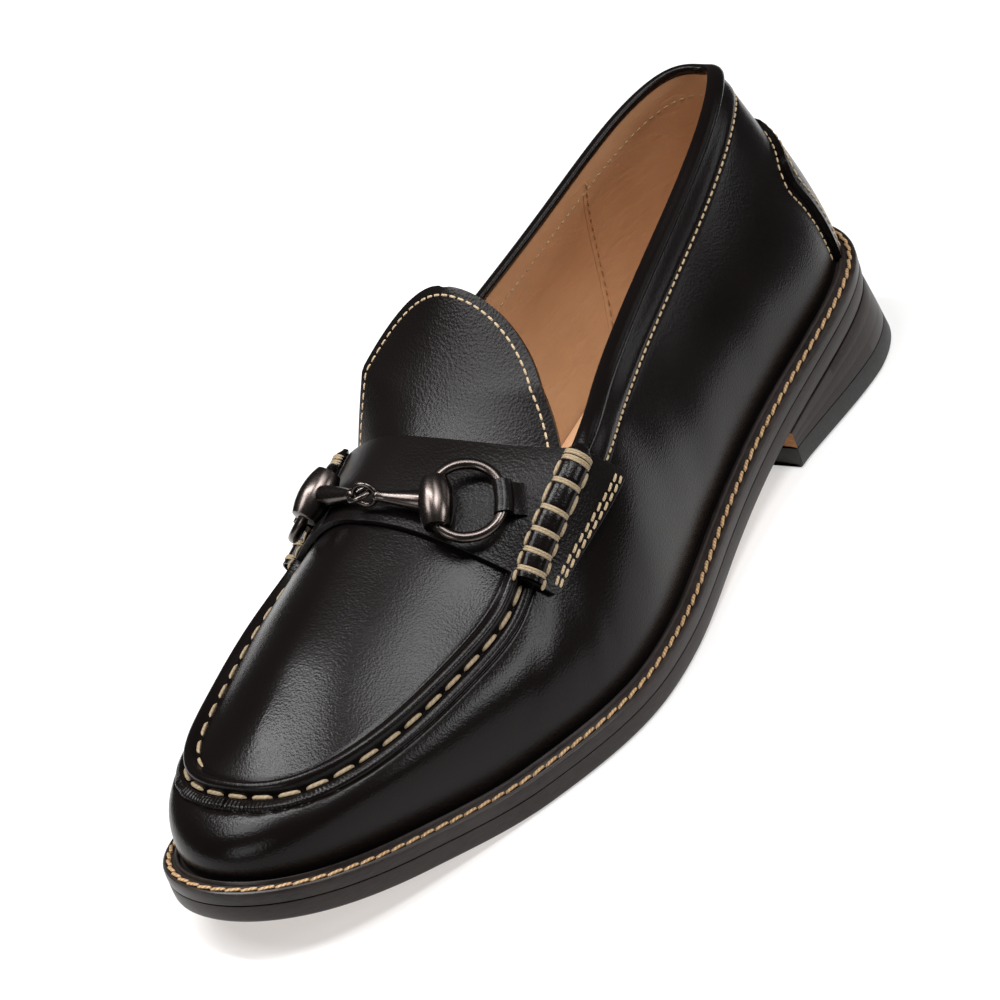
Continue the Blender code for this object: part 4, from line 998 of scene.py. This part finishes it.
collar_rows += stitches(collar_line - collar_ups * (LINING_BACK - 0.05), -collar_ups, pitch=2.6, length=1.4,
                        radius=0.25)
add_threads("collar_stitches", collar_rows, fine_thread)

# Lapped seam between the lining's front and back pieces on each side: height up the wall, turn from the toe.
LAP_LINE = ((0.04, 2.18), (0.24, 2.227), (0.43, 2.257), (0.66, 2.277), (0.93, 2.283))
LAP_HALF = 1.5
LAP_FLAT = 0.3
lining_thread = linen_thread("lining_linen", "#c09468", "#74492d", ply_shade=0.1, fibre_bump=0.3)
lap_heights = np.linspace(LAP_LINE[0][0], LAP_LINE[-1][0], 60)
lap_turns = steady_curve(*np.array(LAP_LINE).T)(lap_heights)
lap_rows = []
for side, name in ((1, "lateral"), (-1, "medial")):
    beside = [wall(side * (lap_turns + nudge), lap_heights[:, None])[:, 0] for nudge in (-0.01, 0, 0.01)]
    patch = np.stack(beside, axis=1)
    lap_ups = -grid_normals(patch)[:, 1]
    lap_line = patch[:, 1] + lap_ups * LINING_BACK
    lap = strand(lap_line, lap_ups, LAP_HALF, LAP_FLAT)
    add_piece(f"lining_lap_{name}", *lap[:2], [lining_finish], "lining_leather")
    lap_top = lap_line + lap_ups * LAP_HALF * LAP_FLAT
    lap_rows += stitches(lap_top, lap_ups, pitch=3.1, length=2.0, radius=0.28)
add_threads("lining_stitches", lap_rows, lining_thread)

# Tongue
# The apron's calf carried on under the strap and cut to a round tongue that stands free, lined and
# topstitched.
TONGUE_TIP = (146.0, -3.0, 101.0)
TONGUE_HALF = (36.5, 31.0)
TONGUE_ROUND = 1.75
TONGUE_CURL = (6.5, 10.0)
TONGUE_EDGE_OUT = (3.4, 4.8)
TONGUE_EDGE_IN = (3.4, 3.4)
TONGUE_BUTT = 0.5
TONGUE_EARLY_RISE = 0.6
TONGUE_SETTLE = 0.36
TONGUE_THICK = 2.0
TONGUE_ACROSS = 61
TONGUE_ROOT_ROWS = 14
TONGUE_FREE_ROWS = 34
TONGUE_LAST_ROW = 0.997


def tongue_root(turn):
    """Row across the tongue where it lies on the instep under the strap."""
    passed = (turn - throat_turn) / (rear_turn - throat_turn)
    row = []
    for side, (start, stop) in ((1, TONGUE_EDGE_OUT), (-1, TONGUE_EDGE_IN)):
        share = (start + (stop - start) * passed) / apron_reach([side * turn])[0]
        row.append(apron([side * turn], np.linspace(share, 1, TONGUE_ACROSS // 2 + 1))[0])
    return np.concatenate([row[0], row[1][-2::-1]])


tongue_last = tongue_root(rear_turn)
tongue_base = tongue_last[TONGUE_ACROSS // 2]


def tongue_free(x, across):
    """Points of the standing tongue: x from the strap (0) to the tip (1), across from 1 outside to -1."""
    across = np.asarray(across, float)
    step = np.array([x, x, TONGUE_EARLY_RISE * x + (1 - TONGUE_EARLY_RISE) * x * x])
    centre = tongue_base + (np.array(TONGUE_TIP) - tongue_base) * step
    narrow = (1 - x ** TONGUE_ROUND) ** (1 / TONGUE_ROUND)
    half = np.where(across > 0, *TONGUE_HALF)
    curl = np.where(across > 0, *TONGUE_CURL)
    free = np.stack([centre[0] - curl * across ** 2 * narrow, centre[1] + half * narrow * across,
                     np.full(len(across), centre[2])], axis=-1)
    rest = np.linspace(1, -1, TONGUE_ACROSS)[::-1]
    held = between(across, rest, tongue_last[::-1]) - tongue_base + centre
    held[:, 1] = centre[1] + (held[:, 1] - centre[1]) * narrow
    settle = min(1.0, x / TONGUE_SETTLE)
    return free * settle + held * (1 - settle)


def apply_modifier(piece, modifier):
    """Modifier worked into the piece's mesh."""
    bpy.ops.object.select_all(action="DESELECT")
    bpy.context.view_layer.objects.active = piece
    bpy.ops.object.modifier_apply(modifier=modifier.name)


def add_plate(name, grid, normals, low, high, finishes, slot, rounding):
    """Leather cut to a grid of points: raised to two heights, closed round its edge, with rounded edges."""
    rows, columns = grid.shape[:2]
    count = rows * columns
    points = np.concatenate([(grid + normals * low).reshape(-1, 3), (grid + normals * high).reshape(-1, 3)])
    sheet = grid_faces(rows, columns)
    edge = list(range(columns - 1)) + [r * columns + columns - 1 for r in range(rows - 1)]
    edge += [(rows - 1) * columns + c for c in range(columns - 1, 0, -1)]
    edge += [r * columns for r in range(rows - 1, 0, -1)]
    faces = sheet + [[i + count for i in reversed(face)] for face in sheet]
    faces += [(b, a, a + count, b + count) for a, b in zip(edge, edge[1:] + edge[:1])]
    which = [len(finishes) - 1] * len(sheet) + [0] * (len(faces) - len(sheet))
    piece = add_piece(name, points, faces, finishes, slot, which=which)
    bevel = piece.modifiers.new("cut edge", "BEVEL")
    bevel.width = rounding * MM
    bevel.segments = 3
    bevel.limit_method = "ANGLE"
    bevel.angle_limit = math.radians(60)
    apply_modifier(piece, bevel)
    return piece


tongue_across = np.linspace(1, -1, TONGUE_ACROSS)
tongue_rows = [tongue_root(turn) for turn in np.linspace(throat_turn, rear_turn, TONGUE_ROOT_ROWS)]
tongue_rows[0][:, 0] -= TONGUE_BUTT
free_steps = 1 - (1 - np.linspace(0, 1, TONGUE_FREE_ROWS + 1)[1:]) ** 1.6
tongue_rows += [tongue_free(min(x, TONGUE_LAST_ROW), tongue_across) for x in free_steps]
tongue_grid = np.array(tongue_rows)
grained_calf = box_calf("grained_black_calf", "#120e0d", "#0b0808", roughness=0.31, grain_mm=0.7,
                        grain_depth=0.16)
tongue = add_plate("calf_tongue", tongue_grid, grid_normals(tongue_grid), -TONGUE_THICK, 0.0,
                   [grained_calf, lining_finish], "calf", rounding=0.7)
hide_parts("tongue")

# The tongue's topstitching runs a little inside its edge, from the strap round the tip and back.
HEM_IN = 2.4
HEM_START = 0.03
TONGUE_LENGTH = 52
TONGUE_MEAN_HALF = 33
hem = []
for angle in np.linspace(HEM_START, math.pi - HEM_START, 400):
    x = (1 - HEM_IN / TONGUE_LENGTH) * math.sin(angle) ** (2 / TONGUE_ROUND)
    narrow = (1 - x ** TONGUE_ROUND) ** (1 / TONGUE_ROUND)
    bow = abs(math.cos(angle)) ** (2 / TONGUE_ROUND)
    width = np.sign(math.cos(angle)) * (1 - HEM_IN / TONGUE_MEAN_HALF) * bow
    place = min(max(width / narrow, -1), 1)
    patch = np.array([tongue_free(x + dx, place + np.array([-0.01, 0, 0.01])) for dx in (-0.003, 0, 0.003)])
    hem.append((patch[1, 1], grid_normals(patch)[1, 1]))
hem_path, hem_ups = (np.array(column) for column in zip(*hem))
hem_row = stitches(hem_path - hem_ups * THREAD_BED / 2, hem_ups, pitch=2.6, length=2.0, radius=0.32)
add_threads("tongue_stitches", hem_row, fine_thread)

# Saddle strap
# A broad strap of the same calf laid over the instep; its ends run down the wall as tabs with two rows of
# stitching.
STRAP_LIFT = 0.4
STRAP_THICK = 1.8
STRAP_TOP = STRAP_LIFT + STRAP_THICK
TAB_DEPTH = 0.24
TAB_ROWS = 22
CORNER_PLACE = -0.84
CORNER_TURN = 0.018
TAB_STITCH_ROWS = (0.026, 0.056)
TAB_STITCH_START = 0.014
STRAP_ACROSS = 60
STRAP_COLUMNS = 40


def strap_side(passed, side):
    """Points of the strap on one side at a share of its length, from its tab's end up to the crown."""
    heights = np.linspace(1 - TAB_DEPTH, 1, TAB_ROWS)
    shares = np.linspace(0, 1, STRAP_ACROSS)[1:]
    places = np.concatenate([(heights - 1) / TAB_DEPTH, shares])
    low = np.clip((CORNER_PLACE - places) / (1 + CORNER_PLACE), 0, 1)
    corner = CORNER_TURN * (1 - np.sqrt(1 - low ** 2))
    turns = side * ((strap_front(places) + corner) * (1 - passed) + (strap_rear(places) - corner) * passed)
    tab = wall(turns[:TAB_ROWS], heights[:, None])[:, 0]
    return np.concatenate([tab, apron(turns[TAB_ROWS:], shares[:, None])[:, 0]])


strap_grid = np.array([np.concatenate([strap_side(passed, 1), strap_side(passed, -1)[-2::-1]])
                       for passed in np.linspace(0, 1, STRAP_COLUMNS)])
strap_normals = grid_normals(strap_grid)
strap = add_plate("calf_strap", strap_grid, strap_normals, STRAP_LIFT, STRAP_TOP, [grained_calf], "calf",
                  rounding=0.55)
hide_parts("saddle_strap")

tab_stitches = []
for side in (1, -1):
    for inside in TAB_STITCH_ROWS:
        height = 1 - TAB_DEPTH + inside
        place = (height - 1) / TAB_DEPTH
        turns = side * np.linspace(strap_front(place) + TAB_STITCH_START,
                                   strap_rear(place) - TAB_STITCH_START, 80)
        patch = wall(turns, [height - 0.01, height, height + 0.01])
        normals = grid_normals(patch)[:, 1]
        line = patch[:, 1] + normals * (STRAP_TOP - 0.1)
        tab_stitches += stitches(line, normals, pitch=3.1, length=2.5, radius=0.40, slant=0.25)
add_threads("strap_tab_stitches", tab_stitches, fine_thread)

# Rolled strap ends
# Each end of the strap is rolled round a cord where it crosses the apron seam and bound with thick thread:
# bars over the roll and a stitch from bar to bar along both of its sides.
ROLL_LENGTH = 34.0
ROLL_WIDTH = 7.0
ROLL_HEIGHT = 3.0
ROLL_SKEW = (-0.6, 1.3)
ROLL_RINGS = 73
ROLL_POINTS = 19
ROLL_PINCH = 0.25
CUFF_DEPTH = 1.5
BAR_PLACES = (0.085, 0.125, 0.28, 0.46, 0.61, 0.76, 0.92)
BAR_RADIUS = 0.38
BAR_APART = 0.34
BAR_PROUD = 0.25
RAIL_RADIUS = 0.5
RAIL_POINTS = 9
RAIL_STOP = 1.06


def roll_frame(side, share):
    """Middle, up, along and outward directions of a roll at a share of its length from the rear end."""
    column = TAB_ROWS - 1 if side > 0 else strap_grid.shape[1] - TAB_ROWS
    row = (1 - share) * (STRAP_COLUMNS - 1)
    line = strap_grid[:, column] + strap_normals[:, column] * (STRAP_TOP + 0.05)

    def at(values):
        return between(row, np.arange(STRAP_COLUMNS), values)

    up, along = at(strap_normals[:, column]), unit(at(np.gradient(line, axis=0)))
    up = unit(up - along * np.dot(up, along))
    out = unit(np.cross(along, up))
    inward = ROLL_SKEW[0] + (ROLL_SKEW[1] - ROLL_SKEW[0]) * share
    return at(line) + out * inward * side - along * max(0.0, share - 1) * ROLL_LENGTH, up, along, out


def roll_section(side, share, size):
    """Arch of points across a roll."""
    middle, up, along, out = roll_frame(side, share)
    pinch = ROLL_PINCH * min(1.0, sum(swell(share, bar, 0.02) for bar in BAR_PLACES))
    drawn = 1 - 0.4 * ease(share, 0.07, 0.0)
    arc = np.linspace(0, math.pi, ROLL_POINTS)[:, None]
    wide, high = ROLL_WIDTH / 2 * size * drawn, (ROLL_HEIGHT - pinch) * size * drawn
    return middle + out * np.cos(arc) * wide + up * np.sin(arc) ** 0.8 * high


for side, name in ((1, "lateral"), (-1, "medial")):
    rings = [roll_section(side, share, 1.0) for share in np.linspace(0, 1, ROLL_RINGS)]
    rings += [roll_section(side, 1.0, 0.86), roll_section(side, 1 - CUFF_DEPTH / ROLL_LENGTH, 0.8)]
    faces = capped_faces(len(rings), ROLL_POINTS)
    roll = add_piece(f"bound_roll_{name}", np.concatenate(rings), faces, [calf], "calf")
    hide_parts(f"beef_roll_{name}")
    bars = []
    for share in BAR_PLACES:
        middle, up, along, out = roll_frame(side, share)
        arc = np.linspace(-0.05, math.pi + 0.05, 21)[:, None]
        wide, high = ROLL_WIDTH / 2 + BAR_PROUD, ROLL_HEIGHT - ROLL_PINCH + 0.3
        for apart in (-BAR_APART, BAR_APART):
            path = middle + out * np.cos(arc) * wide + up * np.sin(arc) * high + along * apart
            bars.append(strand(path, path - (middle - up), BAR_RADIUS, 0.7))
    for edge in (1, -1):
        for start, stop in zip(BAR_PLACES[1:], BAR_PLACES[2:] + (RAIL_STOP,)):
            path, ups = [], []
            bends = np.sin(np.linspace(0, math.pi, RAIL_POINTS))
            for share, bend in zip(np.linspace(start + 0.022, stop - 0.018, RAIL_POINTS), bends):
                middle, up, along, out = roll_frame(side, share)
                beside = ROLL_WIDTH / 2 + BAR_PROUD + 0.15 * bend
                path.append(middle + edge * out * beside + up * (0.15 + 0.4 * bend))
                ups.append(up + edge * out * 0.5)
            bars.append(strand(path, unit(ups), RAIL_RADIUS, 0.75, 6.0))
    add_threads(f"roll_binding_{name}", bars, seam_thread)

# Heel counter
# A patch of calf sewn over the back seam, cut to a wave that runs from the welt up to a narrow top.
COUNTER_THICK = 1.4
COUNTER_LIFT = 0.55
COUNTER_TOP = COUNTER_LIFT + COUNTER_THICK
COUNTER_ROW = 0.045

# Edge of the counter: height up the wall, turn from the middle of the back.
COUNTER_EDGE = (
    (0.02, 0.475),
    (0.26, 0.475),
    (0.415, 0.485),
    (0.535, 0.505),
    (0.635, 0.455),
    (0.70, 0.32),
    (0.755, 0.17),
)
counter_edge = steady_curve(*np.array(COUNTER_EDGE).T)
across = np.linspace(-1, 1, 81)
counter_heights = np.linspace(COUNTER_EDGE[0][0], COUNTER_EDGE[-1][0], 55)
counter_grid = np.array([wall(math.pi + counter_edge(h) * across, [h])[:, 0] for h in counter_heights])
counter = add_plate("calf_counter", counter_grid, grid_normals(counter_grid), 0.1, COUNTER_TOP, [calf],
                    "calf", rounding=0.4)
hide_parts("heel_counter")

counter_stitches = []
for side in (1, -1):
    for beyond, lift in ((COUNTER_ROW, -THREAD_BED / 2), (-COUNTER_ROW, COUNTER_TOP - 0.1)):
        patch = []
        for height in np.linspace(0.05, 0.74, 140):
            beside = counter_edge(height) + beyond + np.array([-0.01, 0, 0.01])
            patch.append(wall(math.pi + side * beside, [height])[:, 0])
        patch = np.array(patch)
        normals = grid_normals(patch)[:, 1]
        line = patch[:, 1] + normals * lift
        counter_stitches += stitches(line, normals, pitch=2.6, length=2.0, radius=0.32)
add_threads("counter_stitches", counter_stitches, fine_thread)

# Bit
# A jointed bit in dark polished nickel, cast in two halves: a ring, a barrel and a tapered bar that ends in
# an eye.  The eyes are linked over the middle of the strap, and each ring hangs in a loop of calf sewn
# through the strap.
BIT_LINK = (203.0, -0.5, 75.0)
BARREL_PLACES = {"lateral": (196.5, 17.0), "medial": (196.5, -17.5)}
KEEPER_PLACES = {"lateral": (187.5, 30.8), "medial": (190.5, -29.0)}
BARREL_LENGTH = 14.0
BARREL_RADIUS = 4.65
BARREL_SEAT = 4.8
RING_WIRE = 1.45
RING_SEAT = 2.9
RING_HALF_HEIGHT = 10.4
RING_MIDDLE = 0.42
RING_ROUND = 0.9
RING_STEPS = 72
RING_SHOULDER = math.radians(52)
EYE_RADIUS = 3.1
EYE_WIRE = 0.72
EYE_OFFSET = 0.78

# Turned profiles: share of the way, radius.
BARREL_PROFILE = ((0.0, 2.9), (0.012, 3.35), (0.05, 3.55), (0.12, 3.88), (0.22, 4.25), (0.36, 4.55),
                  (0.5, BARREL_RADIUS), (0.64, 4.55), (0.78, 4.25), (0.88, 3.88), (0.95, 3.55), (0.988, 3.35),
                  (1.0, 2.9))
BAR_PROFILE = ((0.0, 2.75), (0.28, 2.75), (0.42, 2.55), (0.6, 2.1), (0.8, 1.65), (0.9, 1.45), (0.93, 1.65),
               (0.96, 1.65), (1.0, 1.2))


def polished_nickel(name, colour, roughness):
    """Cast zinc under dark nickel plate, polished: mirror-like but warm and dark, with hair scratches."""
    material, place = start_material(name)
    along = add_node(material, "ShaderNodeMapping", {"Vector": place, "Scale": (0.25, 1.0, 1.0)})
    scratch = add_node(material, "ShaderNodeTexNoise",
                       {"Vector": along.outputs["Vector"], "Scale": 1 / (0.6 * MM), "Detail": 5.0})
    gloss = add_node(material, "ShaderNodeMapRange",
                     {"Value": scratch.outputs["Fac"], "From Min": 0.3, "From Max": 0.7,
                      "To Min": roughness - 0.02, "To Max": roughness + 0.03})
    return set_shader(material, {"Base Color": linear(colour), "Metallic": 1.0,
                                 "Roughness": gloss.outputs["Result"]})


nickel = polished_nickel("dark_nickel", "#504946", roughness=0.25)


def on_strap(place):
    """Point on top of the strap at a place in plan, with its normal."""
    away = np.hypot(strap_grid[..., 0] - place[0], strap_grid[..., 1] - place[1])
    spot = np.unravel_index(away.argmin(), away.shape)
    return strap_grid[spot] + strap_normals[spot] * STRAP_TOP, strap_normals[spot]


def tube(path, ups, radius, sides, closed=False):
    """Round cord along a path: points and faces."""
    path = np.asarray(path, float)
    ahead = np.roll(path, -1, axis=0) - np.roll(path, 1, axis=0) if closed else np.gradient(path, axis=0)
    side = unit(np.cross(ups, ahead))
    up = unit(np.cross(ahead, side))
    turn = np.arange(sides) * 2 * math.pi / sides
    radius = np.broadcast_to(radius, len(path))[:, None, None]
    points = path[:, None] + radius * (side[:, None] * np.cos(turn)[None, :, None]
                                       + up[:, None] * np.sin(turn)[None, :, None])
    return points.reshape(-1, 3), (hoop_faces if closed else capped_faces)(len(path), sides)


def turned(start, finish, profile, sides):
    """Turned solid between two points: points and faces."""
    start, finish = np.asarray(start, float), np.asarray(finish, float)
    path = [start + (finish - start) * share for share, radius in profile]
    ups = np.tile(unit(np.cross(finish - start, (0.3, 0.5, 0.8))), (len(path), 1))
    return tube(path, ups, [radius for share, radius in profile], sides)


def join_cast(name, solids, finish, slot, body):
    """One casting from solids that run into each other."""
    parts = [add_piece(f"{name}_{i}", *solid, [finish], slot, body) for i, solid in enumerate(solids)]
    whole = parts[0]
    whole.name = name
    for other in parts[1:]:
        union = whole.modifiers.new("cast on", "BOOLEAN")
        union.operation = "UNION"
        union.object = other
        apply_modifier(whole, union)
        bpy.data.objects.remove(other)
    whole.data.shade_smooth()
    whole.data.set_sharp_from_angle(angle=math.radians(SHARP_ANGLE))
    return whole


KEEPER_LENGTH = 8.8
KEEPER_WRAP = 2.6
KEEPER_STRIP = 1.0
KEEPER_TAIL = 5.6
for name in ("lateral", "medial"):
    seat, seat_up = on_strap(BARREL_PLACES[name])
    hold, hold_up = on_strap(KEEPER_PLACES[name])
    middle, pivot = seat + seat_up * BARREL_SEAT, hold + hold_up * RING_SEAT
    width = np.linalg.norm(pivot - middle)
    out = unit(pivot - middle)
    up = unit(seat_up + hold_up - out * np.dot(seat_up + hold_up, out))
    forward = unit(np.cross(out, up))
    arc = np.linspace(-math.pi / 2, math.pi / 2, RING_STEPS + 1)[1:-1]
    near = RING_MIDDLE * width
    bow = [forward * RING_HALF_HEIGHT * math.sin(a)
           + out * (near + (width - near) * math.cos(a) ** RING_ROUND) for a in arc]
    shoulder = [forward * RING_HALF_HEIGHT * math.cos(a)
                + out * near * (1 - math.sin(a) / math.sin(RING_SHOULDER))
                for a in np.linspace(0, RING_SHOULDER, 12)]
    neck = forward * RING_HALF_HEIGHT * math.cos(RING_SHOULDER) * 0.6
    away = [point - 2 * forward * np.dot(point, forward) for point in shoulder]
    bow += shoulder + [neck, -neck] + away[::-1]
    ring = tube(middle + np.array(bow), np.tile(up, (len(bow), 1)), RING_WIRE, 18, closed=True)
    end = forward * BARREL_LENGTH / 2
    barrel = turned(middle - end, middle + end, BARREL_PROFILE, 48)
    inward = unit(np.array(BIT_LINK) - middle)
    eye_middle = np.array(BIT_LINK) - inward * EYE_OFFSET
    bar = turned(middle, eye_middle - inward * (EYE_RADIUS - 0.4), BAR_PROFILE, 32)
    upright = unit(np.array([0.0, 0.0, 1.0]) - inward * inward[2])
    lean = upright if name == "lateral" else np.cross(inward, upright)
    turns = np.arange(48) * 2 * math.pi / 48
    loop = eye_middle + EYE_RADIUS * (np.cos(turns)[:, None] * inward + np.sin(turns)[:, None] * lean)
    eye = tube(loop, np.tile(np.cross(inward, lean), (len(loop), 1)), EYE_WIRE, 14, closed=True)
    half = join_cast(f"bit_half_{name}", [ring, barrel, bar, eye], nickel, "gunmetal", f"{name}_bit")
    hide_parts(f"bit_{name}")

    # Leather loop round the ring: a strip that wraps the wire and runs on to a slit in the strap.
    flat_out = unit(out - hold_up * np.dot(out, hold_up))
    flat_ahead = unit(np.cross(flat_out, hold_up))
    drop = RING_SEAT - 0.15
    strip = [(KEEPER_TAIL, 0.4 - drop), (KEEPER_TAIL * 0.72, KEEPER_STRIP - drop)]
    strip += [(KEEPER_WRAP * math.cos(a), max(KEEPER_WRAP * math.sin(a), -drop))
              for a in np.linspace(-0.25, math.pi + 0.7, 25)]
    strip += [(-0.6, -drop), (KEEPER_TAIL, -drop)]
    rings = []
    for end in np.linspace(-0.5, 0.5, 9):
        bend = -0.35 * (2 * end) ** 2
        across = pivot + flat_ahead * end * KEEPER_LENGTH
        rings.append([across + flat_out * (x + bend) + hold_up * y for x, y in strip])
    faces = capped_faces(len(rings), len(strip))
    keeper = add_piece(f"keeper_loop_{name}", np.concatenate(rings), faces, [calf], "calf")
    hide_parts(f"ring_keeper_{name}")

# Studio
# A white board on the floor of a white cove in a dim room.  Soft boxes hang over the shoe and stand round it,
# so that the leather stays black between broad soft highlights.  The camera stands where the photograph was
# taken from.
BOARD_LENGTH = 0.78
BOARD_WIDTH = 0.44
BOARD_TURN = 118.75
BOARD_MIDDLE = (-0.137, 0.094, -0.0003)
bpy.ops.mesh.primitive_grid_add(x_subdivisions=8, y_subdivisions=8, size=1.0)
board = bpy.context.object
board.name = "white_board"
board.data.transform(Matrix.Translation(BOARD_MIDDLE) @ Matrix.Rotation(math.radians(BOARD_TURN), 4, "Z")
                     @ Matrix.Diagonal((BOARD_LENGTH, BOARD_WIDTH, 1.0, 1.0)))
paper = set_shader(start_material("white_paper")[0],
                   {"Base Color": linear("#b4b3b2"), "Roughness": 0.9,
                    "Emission Color": linear("#ffffff"), "Emission Strength": 0.48})
board.data.materials.append(paper)

world = bpy.data.worlds.new("dim_room")
world.use_nodes = True
world.node_tree.nodes["Background"].inputs["Color"].default_value = linear("#ffffff")
world.node_tree.nodes["Background"].inputs["Strength"].default_value = 0.07
bpy.context.scene.world = world
bpy.context.scene.view_settings.view_transform = "Standard"

# The studio's white cove is only a backdrop: no leather or metal mirrors it, and it throws no light.
COVE_RADIUS = 5.0
COVE_DROP = 0.002
bpy.ops.mesh.primitive_cylinder_add(vertices=96, radius=COVE_RADIUS, depth=COVE_RADIUS,
                                    location=(0, 0, COVE_RADIUS / 2 - COVE_DROP))
cove = bpy.context.object
cove.name = "white_cove"
bpy.ops.object.transform_apply(location=True)
cove_paint = set_shader(start_material("cove_paint")[0],
                        {"Emission Color": linear("#ffffff"), "Emission Strength": 1.0})
cove.data.materials.append(cove_paint)
for ray in ("diffuse", "glossy", "transmission", "volume_scatter", "shadow"):
    setattr(cove, f"visible_{ray}", False)

# Soft boxes: place, width, height, power in watts.  Those of the ceiling hang level, others face the shoe.
BOX_AIM = (0, 0, 0.04)
CEILING_BOXES = (
    ((-0.40, -0.21, 1.15), 0.90, 0.16, 13.0),
    ((0.47, -0.085, 1.15), 0.38, 0.43, 9.0),
    ((0.29, 0.24, 1.15), 0.48, 0.22, 2.0),
    ((-0.55, -0.62, 1.15), 0.55, 0.50, 10.5),
)
STANDING_BOXES = (
    ((0.62, 0.12, 0.98), 0.40, 0.34, 2.4),
    ((1.09, 0.24, 0.46), 0.34, 0.36, 4.6),
    ((-0.10, -1.15, 0.25), 0.50, 0.35, 2.4),
    ((0.66, 0.85, 0.55), 0.50, 0.40, 0.5),
    ((0.75, 1.06, 0.10), 0.55, 0.16, 0.7),
)
for box in CEILING_BOXES + STANDING_BOXES:
    spot, width, height, power = box
    bpy.ops.object.light_add(type="AREA", location=spot)
    lamp = bpy.context.object
    if box in STANDING_BOXES:
        lamp.rotation_euler = (Vector(BOX_AIM) - Vector(spot)).to_track_quat("-Z", "Y").to_euler()
    lamp.data.shape = "RECTANGLE"
    lamp.data.size = width
    lamp.data.size_y = height
    lamp.data.energy = power

CAMERA_PLACE = (0.80857, -0.85376, 0.68888)
CAMERA_RIGHT = (0.7928, 0.5292, -0.3022)
CAMERA_UP = (-0.0650, 0.5666, 0.8214)
CAMERA_BACK = (0.6059, -0.6316, 0.4836)
LENS = 183.5
SENSOR = 36.0
bpy.ops.object.camera_add(location=CAMERA_PLACE)
camera = bpy.context.object
camera.rotation_euler = Matrix((CAMERA_RIGHT, CAMERA_UP, CAMERA_BACK)).transposed().to_euler()
camera.data.sensor_width = SENSOR
camera.data.lens = LENS
camera.data.clip_start = 0.01
bpy.context.scene.camera = camera
